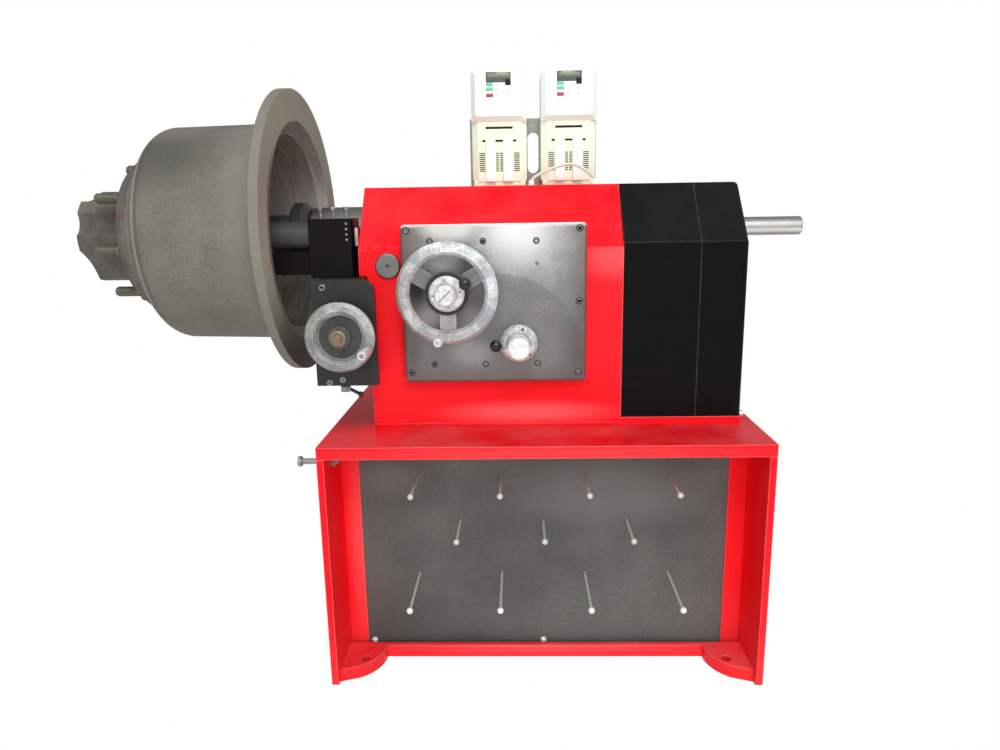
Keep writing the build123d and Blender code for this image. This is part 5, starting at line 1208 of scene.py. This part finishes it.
class LATHE_OT_clutch(bpy.types.Operator):
    """Marks and screws of the clutch dial, the dark ring round it and the slot of its knob"""

    bl_idname = "lathe.clutch"
    bl_label = "Clutch dial"

    def execute(self, context):
        face = corners("clutch_knob")[1].y
        marks, screws, edge, collar = new_meshes(4)
        dial_marks(marks, FEED_AXIS, face, 0.0300, 0.0335, 48, 4)
        screw_circle(screws, FEED_AXIS, face, 0.0268, 4, 8, 0.0026, 0.0006)
        ring(edge, on_axis(FEED_AXIS, face), 0.0206, 0.0222, SUNK, 0.0009)
        piece("clutch_marks", marks, "marking paint", "clutch_dial")
        piece("clutch_screws", screws, "turned plug", "clutch_dial")
        piece("clutch_collar", edge, "clutch plate", "clutch_dial")
        back = on_axis(FEED_AXIS, CLUTCH_RING_BACK)
        ring(collar, back, 0.0357, 0.0422, 0.0, 0.0100, 0.0012, 144)
        for vert in collar.verts:
            spot = back.inverted() @ vert.co
            if math.hypot(spot.x, spot.y) > 0.041:
                scallop = 1 + 0.008 * math.cos(SCALLOPS * math.atan2(spot.y, spot.x))
                vert.co = back @ Vector((spot.x * scallop, spot.y * scallop, spot.z))
        piece("clutch_ring", collar, "blackened steel", "feed_wheel")
        self.slot_knob(facing(FEED_AXIS, FRONT, KNOB_SLOT_TURN), KNOB_RADIUS)
        return {"FINISHED"}

    def slot_knob(self, place, radius):
        """Two half discs on a knob's end with a dark slot between them."""
        halves, groove = new_meshes(2)
        for side in (1, -1):
            part = bmesh.new()
            stacked(part, place, [(radius, -0.0004, 48), (radius, 0.0006, 48), (radius - 0.0006, 0.0012, 48)])
            cut = place @ Vector((0, side * 0.0009, 0))
            way = place.to_3x3() @ Vector((0, side, 0))
            geom = part.verts[:] + part.edges[:] + part.faces[:]
            bmesh.ops.bisect_plane(part, geom=geom, plane_co=cut, plane_no=way, clear_inner=True)
            bmesh.ops.holes_fill(part, edges=[edge for edge in part.edges if edge.is_boundary])
            mesh = bpy.data.meshes.new("half")
            part.to_mesh(mesh)
            part.free()
            halves.from_mesh(mesh)
            bpy.data.meshes.remove(mesh)
        reach = radius - 0.0008
        slab(groove, (-reach, -0.0010, -0.0004), (reach, 0.0010, 0.0003), 0.0001, 1, place)
        piece("clutch_knob_end", halves, "clutch plate", "clutch_knob")
        piece("clutch_knob_slot", groove, "turned plug", "clutch_knob")


SELECTOR_FACE = -0.1763
KNOB_CAP = [(0, 0.0018), (0.010, 0.0017), (0.0165, 0.0012), (0.0190, 0.0004), (0.0192, -0.0003), (0, -0.0003)]


class LATHE_OT_selector(bpy.types.Operator):
    """Screws, marks and collar of the feed selector, and the cap of its knob"""

    bl_idname = "lathe.selector"
    bl_label = "Selector"

    def execute(self, context):
        screws, marks, collar, cap = new_meshes(4)
        screw_circle(screws, CHOICE_AXIS, SELECTOR_FACE, 0.031, 3, 75, 0.0030, 0.0008)
        dial_marks(marks, CHOICE_AXIS, SELECTOR_FACE, 0.0335, 0.0365, 24, 6)
        ring(collar, on_axis(CHOICE_AXIS, SELECTOR_FACE), 0.0232, 0.0262, SUNK, 0.0016, 0.0006)
        turned(cap, facing(CHOICE_AXIS, FRONT), KNOB_CAP, 48)
        piece("selector_screws", screws, "turned plug", "selector_dial")
        piece("selector_marks", marks, "marking paint", "selector_dial")
        piece("selector_collar", collar, "selector plate", "selector_dial")
        piece("selector_cap", cap, "selector knob plate", "selector_knob")
        return {"FINISHED"}


# The foot of each lever and the middle of its ball
LEVER_BALLS = {
    "clutch_dial": ((-0.1609, -0.226, 0.8350), (-0.1500, -0.250, 0.8411)),
    "selector_dial": ((-0.0810, -0.1703, 0.7110), (-0.0950, -0.1943, 0.7110)),
}
BALL_STEPS = 20
BALL_FLAT = 0.985


class LATHE_OT_ball_knobs(bpy.types.Operator):
    """Black ball knobs with ferrules on the two levers"""

    bl_idname = "lathe.ball_knobs"
    bl_label = "Ball knobs"

    def execute(self, context):
        radius = settings().fittings.ball
        foot_low = -radius * BALL_FLAT
        profile = [(0, foot_low), (radius * 0.16, foot_low), (radius * 0.32, foot_low)]
        for step in range(3, BALL_STEPS):
            angle = math.pi * step / BALL_STEPS
            profile.append((radius * math.sin(angle), -radius * math.cos(angle)))
        profile.append((0, radius))
        for body, (foot, centre) in LEVER_BALLS.items():
            place = facing(Vector(centre), Vector(centre) - Vector(foot))
            ball, ferrule = new_meshes(2)
            turned(ball, place, profile, 40)
            ring(ferrule, place, 0.0038, 0.0056, -radius - 0.003, -radius * 0.9, 0.0006)
            piece(body + "_ball", ball, "knob plastic", body)
            piece(body + "_ferrule", ferrule, "crank steel", body)
        return {"FINISHED"}


CROSS_HUB = -0.210
CROSS_MARKS = 50
CROSS_NUT = [(0.0092, -0.0005, 6), (0.0092, 0.0050, 6), (0.0079, 0.0064, 24), (0.0056, 0.0064, 24)]
CROSS_TIP = [
    (0, 0.0066), (0.0012, 0.0066), (0.0016, 0.0084), (0.0044, 0.0084), (0.0054, 0.0074), (0.0054, 0.0),
    (0, 0.0),
]


class LATHE_OT_cross_wheel(bpy.types.Operator):
    """Hexagon nut, screw tip and graduated collar of the cross-slide's wheel"""

    bl_idname = "lathe.cross_wheel"
    bl_label = "Cross wheel"

    def execute(self, context):
        nut, tip, collar, marks = new_meshes(4)
        end = facing(CROSS_AXIS, FRONT)
        stacked(nut, end, CROSS_NUT)
        turned(tip, end, CROSS_TIP, 24)
        ring(collar, on_axis(CROSS_AXIS, CROSS_HUB), 0.0211, 0.0250, 0.0150, 0.0310, 0.0010, 60)
        for index in range(CROSS_MARKS):
            place = on_axis(CROSS_AXIS, CROSS_HUB, FULL_TURN * index / CROSS_MARKS)
            tall = 0.0250 if index % 5 else 0.0290
            slab(marks, (0.0246, -0.00022, 0.0160), (0.02515, 0.00022, tall), 0.00004, 1, place)
        piece("cross_wheel_nut", nut, "buff nut", "cross_wheel")
        piece("cross_wheel_tip", tip, "buff nut", "cross_wheel")
        piece("cross_wheel_collar", collar, "dull zinc", "cross_wheel")
        piece("cross_wheel_marks", marks, "marking paint", "cross_wheel")
        return {"FINISHED"}


CLAMP_PITCH = 0.0265
CLAMP_HEAD = 0.0042
GIB_LOW = 0.923
GIB_PITCH = 0.0106


class LATHE_OT_post_fittings(bpy.types.Operator):
    """Square-headed clamp screws and gib screws of the tool post, and the stop bar beside it"""

    bl_idname = "lathe.post_fittings"
    bl_label = "Tool post fittings"

    def execute(self, context):
        low, high = corners("clamp_screws")
        middle = (low + high) / 2
        top = high.z - low.z
        shank = [(0, 0), (0.0028, 0), (0.0028, top - 0.009), (0.0026, top - 0.008), (0, top - 0.008)]
        screws, gibs, bar, lug = new_meshes(4)
        for step in (-1, 0, 1):
            x = middle.x + CLAMP_PITCH * step
            turned(screws, facing((x, middle.y, low.z), UP), shank, 24)
            head = facing((x, middle.y, high.z), UP, 0.35 * step + 0.2)
            slab(screws, (-CLAMP_HEAD, -CLAMP_HEAD, -0.0095), (CLAMP_HEAD, CLAMP_HEAD, 0), 0.0011, 2, head)
        made = piece("square_clamp_screws", screws, "dull zinc", "cross_slide")
        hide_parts("clamp_screws")
        for index in range(4):
            spot = Vector((POST_HIGH.x - 0.0085, POST_LOW.y, GIB_LOW + GIB_PITCH * index))
            button_screw(gibs, facing(spot, FRONT), 0.0024, 0.4 * index)
        piece("post_gib_screws", gibs, "milled steel", "cross_slide")
        pad = corners("head_casing")[0].x
        slab(bar, (pad - 0.0065, -0.128, 0.9095), (pad + 0.001, -0.119, 0.9465), 0.0012)
        # The lug's enamel is the red darkened to painted shade.
        slab(lug, (pad - 0.0085, -0.129, 0.9470), (pad + 0.001, -0.117, 0.9660), 0.0018)
        piece("stop_bar", bar, "milled steel", "frame")
        piece("stop_lug", lug, "maroon enamel", "frame")
        return {"FINISHED"}


LOCK_NUT_FOOT = 0.6195
LOCK_NUT = [(0.0100, -0.0008, 24), (0.0112, 0.0, 6), (0.0112, 0.0095, 6), (0.0100, 0.0104, 24)]


class LATHE_OT_lock_nut(bpy.types.Operator):
    """Hexagon nut of the slide's lock"""

    bl_idname = "lathe.lock_nut"
    bl_label = "Lock nut"

    def execute(self, context):
        low = corners("slide_lock")[0]
        nut = bmesh.new()
        stacked(nut, facing((low.x + 0.009, low.y + 0.009, LOCK_NUT_FOOT), UP, 0.2), LOCK_NUT)
        piece("slide_lock_nut", nut, "dull zinc", "slide_lock")
        return {"FINISHED"}


STUDS = 8
STUD_CIRCLE = 0.1425
STUD_FIRST = 11
STUD_RADIUS = 0.0109
STUD_ROOM = 0.014
THREAD_ROOT = 0.0098


class LATHE_OT_wheel_studs(bpy.types.Operator):
    """Threaded wheel studs of the hub"""

    bl_idname = "lathe.wheel_studs"
    bl_label = "Wheel studs"

    def execute(self, context):
        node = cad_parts["wheel_studs"]
        points = [node.matrix_world @ vert.co for vert in node.data.vertices]
        pitch = settings().fittings.thread
        studs = bmesh.new()
        for index in range(STUDS):
            turn = math.radians(STUD_FIRST + 360 / STUDS * index)
            spot = SPINDLE + STUD_CIRCLE * Vector((0, math.cos(turn), math.sin(turn)))
            near = [point.x for point in points if (point.yz - spot.yz).length < STUD_ROOM]
            root = max(near)
            reach = root - min(near)
            profile = [(0, 0), (STUD_RADIUS, 0), (STUD_RADIUS, 0.004)]
            for step in range(int((reach - 0.008) / pitch)):
                height = 0.005 + pitch * step
                profile += [(THREAD_ROOT, height), (STUD_RADIUS, height + pitch / 2)]
            profile += [(0.0096, reach - 0.002), (0.0084, reach), (0.003, reach)]
            profile += [(0.0015, reach - 0.0015), (0, reach - 0.0015)]
            turned(studs, facing((root, spot.y, spot.z), LEFT), profile, 28)
        made = piece("threaded_wheel_studs", studs, "stud steel", "spindle")
        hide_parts("wheel_studs")
        return {"FINISHED"}


# Each lamp's setting, place, size and whether bright metal shows it
LAMPS = (
    ("key", (0.15, -2.2, 2.9), 1.1, True),
    ("front", (0.5, -3.2, 0.9), 2.6, False),
    ("top", (0.0, -0.2, 3.2), 2.6, False),
)
LAMP_AIM = Vector((-0.05, 0, 0.65))
SHADOW_HALF = (0.44, 0.10, 0.0)
WHITE = (1, 1, 1, 1)
CAMERA_SPOT = (-0.04858, -1.66273, 0.97545)
CAMERA_YAW = math.radians(-1.53)
CAMERA_PITCH = math.radians(12.44)
CAMERA_ROLL = math.radians(-0.92)
FOCAL_PIXELS = 743.95
PICTURE_WIDTH = 1000
SENSOR_WIDTH = 36


class LATHE_OT_stage(bpy.types.Operator):
    """Floor, lamps, background and camera"""

    bl_idname = "lathe.stage"
    bl_label = "Stage"

    def execute(self, context):
        scene, stage = context.scene, settings().stage
        scene.view_settings.view_transform = "Standard"
        self.make_floor(scene, stage)
        self.make_world(scene, stage)
        for name, spot, size, shows in LAMPS:
            self.make_lamp(scene, name + " lamp", spot, size, getattr(stage, name)).visible_glossy = shows
        self.make_camera(scene)
        return {"FINISHED"}

    def make_floor(self, scene, stage):
        """A round pale floor that turns to plain white away from the lathe."""
        made = Finish("pale floor", specular=0.2)
        nodes = made.nodes
        made.set("Roughness", 0.7)
        made.shade(nodes.noise(made.place, 3.0, 4.0), stage.floor, 0.99, 1.01)
        made.set("Base Color", made.colour)
        seen = nodes.add("ShaderNodeLightPath").outputs
        looks = nodes.most(seen["Is Camera Ray"], seen["Is Glossy Ray"], seen["Is Transmission Ray"])
        beyond = nodes.vector("SUBTRACT", nodes.vector("ABSOLUTE", made.place), SHADOW_HALF)
        away = nodes.span(nodes.vector("LENGTH", nodes.vector("MAXIMUM", beyond, (0.0, 0.0, 0.0))), 0.0, 0.08)
        white = nodes.add("ShaderNodeEmission", {"Color": WHITE, "Strength": 1.0}).outputs[0]
        mixed = nodes.add(
            "ShaderNodeMixShader", {0: nodes.times(looks, away), 1: made.shader.outputs[0], 2: white}
        )
        output = made.material.node_tree.nodes["Material Output"]
        nodes.feed(output.inputs["Surface"], mixed.outputs[0])
        bm = bmesh.new()
        bmesh.ops.create_circle(bm, cap_ends=True, segments=96, radius=stage.floor_radius)
        mesh = bpy.data.meshes.new("floor")
        bm.to_mesh(mesh)
        bm.free()
        mesh.materials.append(made.material)
        floor = bpy.data.objects.new("floor", mesh)
        scene.collection.objects.link(floor)

    def make_world(self, scene, stage):
        """White to the camera, a soft room to bright metal, and even light to the rest."""
        world = bpy.data.worlds.new("studio")
        scene.world = world
        world.use_nodes = True
        nodes = Nodes(world.node_tree)
        x, y, z = nodes.parts(nodes.add("ShaderNodeTexCoord").outputs["Generated"])
        room = nodes.times(
            nodes.span(z, -0.42, 0.22, 0.10, 0.95), nodes.span(x, -0.5, 0.6, 1.0, 0.85),
            nodes.span(y, -0.1, 0.7, 1.0, 0.4),
        )
        seen = nodes.add("ShaderNodeLightPath").outputs
        even = nodes.mix(seen["Is Glossy Ray"], rgba((stage.sky,) * 3), room)
        looks = nodes.most(seen["Is Camera Ray"], seen["Is Transmission Ray"])
        background = world.node_tree.nodes["Background"]
        nodes.feed(background.inputs["Color"], nodes.mix(looks, even, WHITE))
        background.inputs["Strength"].default_value = 1.0

    def make_lamp(self, scene, name, spot, size, power):
        """A soft square lamp turned to the head of the lathe."""
        lamp = bpy.data.lights.new(name, "AREA")
        lamp.size = size
        lamp.energy = power
        made = bpy.data.objects.new(name, lamp)
        made.location = spot
        made.rotation_euler = (LAMP_AIM - Vector(spot)).to_track_quat("-Z", "Y").to_euler()
        scene.collection.objects.link(made)
        return made

    def make_camera(self, scene):
        """The camera where the photograph was taken."""
        flat = math.cos(CAMERA_PITCH)
        ahead = Vector((math.sin(CAMERA_YAW) * flat, math.cos(CAMERA_YAW) * flat, -math.sin(CAMERA_PITCH)))
        right = ahead.cross(UP).normalized()
        above = right.cross(ahead)
        side = math.cos(CAMERA_ROLL) * right + math.sin(CAMERA_ROLL) * above
        top = math.cos(CAMERA_ROLL) * above - math.sin(CAMERA_ROLL) * right
        camera = bpy.data.cameras.new("camera")
        camera.sensor_fit = "HORIZONTAL"
        camera.sensor_width = SENSOR_WIDTH
        camera.lens = FOCAL_PIXELS * SENSOR_WIDTH / PICTURE_WIDTH
        made = bpy.data.objects.new("camera", camera)
        made.matrix_world = (
            Matrix.Translation(CAMERA_SPOT) @ Matrix((side, top, -ahead)).transposed().to_4x4()
        )
        scene.collection.objects.link(made)
        scene.camera = made


OPERATORS = (
    LATHE_OT_finishes, LATHE_OT_plate_screws, LATHE_OT_front_buttons, LATHE_OT_cover_fittings,
    LATHE_OT_drive_fronts, LATHE_OT_lead, LATHE_OT_clutch, LATHE_OT_selector, LATHE_OT_ball_knobs,
    LATHE_OT_cross_wheel, LATHE_OT_post_fittings, LATHE_OT_lock_nut, LATHE_OT_wheel_studs, LATHE_OT_stage,
)


class LATHE_PT_panel(bpy.types.Panel):
    """Settings and makers of the lathe's looks"""

    bl_idname = "LATHE_PT_panel"
    bl_label = "Brake lathe"
    bl_space_type = "VIEW_3D"
    bl_region_type = "UI"
    bl_category = "Lathe"

    def draw(self, context):
        lathe = context.scene.lathe
        for group in (lathe.enamel, lathe.metal, lathe.plastic, lathe.fittings, lathe.stage):
            box = self.layout.box()
            for key in group.__annotations__:
                box.prop(group, key)
        for operator in OPERATORS:
            self.layout.operator(operator.bl_idname)


CLASSES = (
    LatheEnamel, LatheMetal, LathePlastic, LatheFittings, LatheStage, LatheSettings, *OPERATORS,
    LATHE_PT_panel,
)


def register():
    """Adds the classes and the settings."""
    for kind in CLASSES:
        bpy.utils.register_class(kind)
    bpy.types.Scene.lathe = PointerProperty(
        type=LatheSettings, name="Lathe", description="Settings of the lathe"
    )


def unregister():
    """Takes the classes and the settings away."""
    del bpy.types.Scene.lathe
    for kind in reversed(CLASSES):
        bpy.utils.unregister_class(kind)


def main():
    """Makes everything in order."""
    register()
    for operator in OPERATORS:
        group, name = operator.bl_idname.split(".")
        getattr(getattr(bpy.ops, group), name)()


if __name__ == "__main__":
    main()
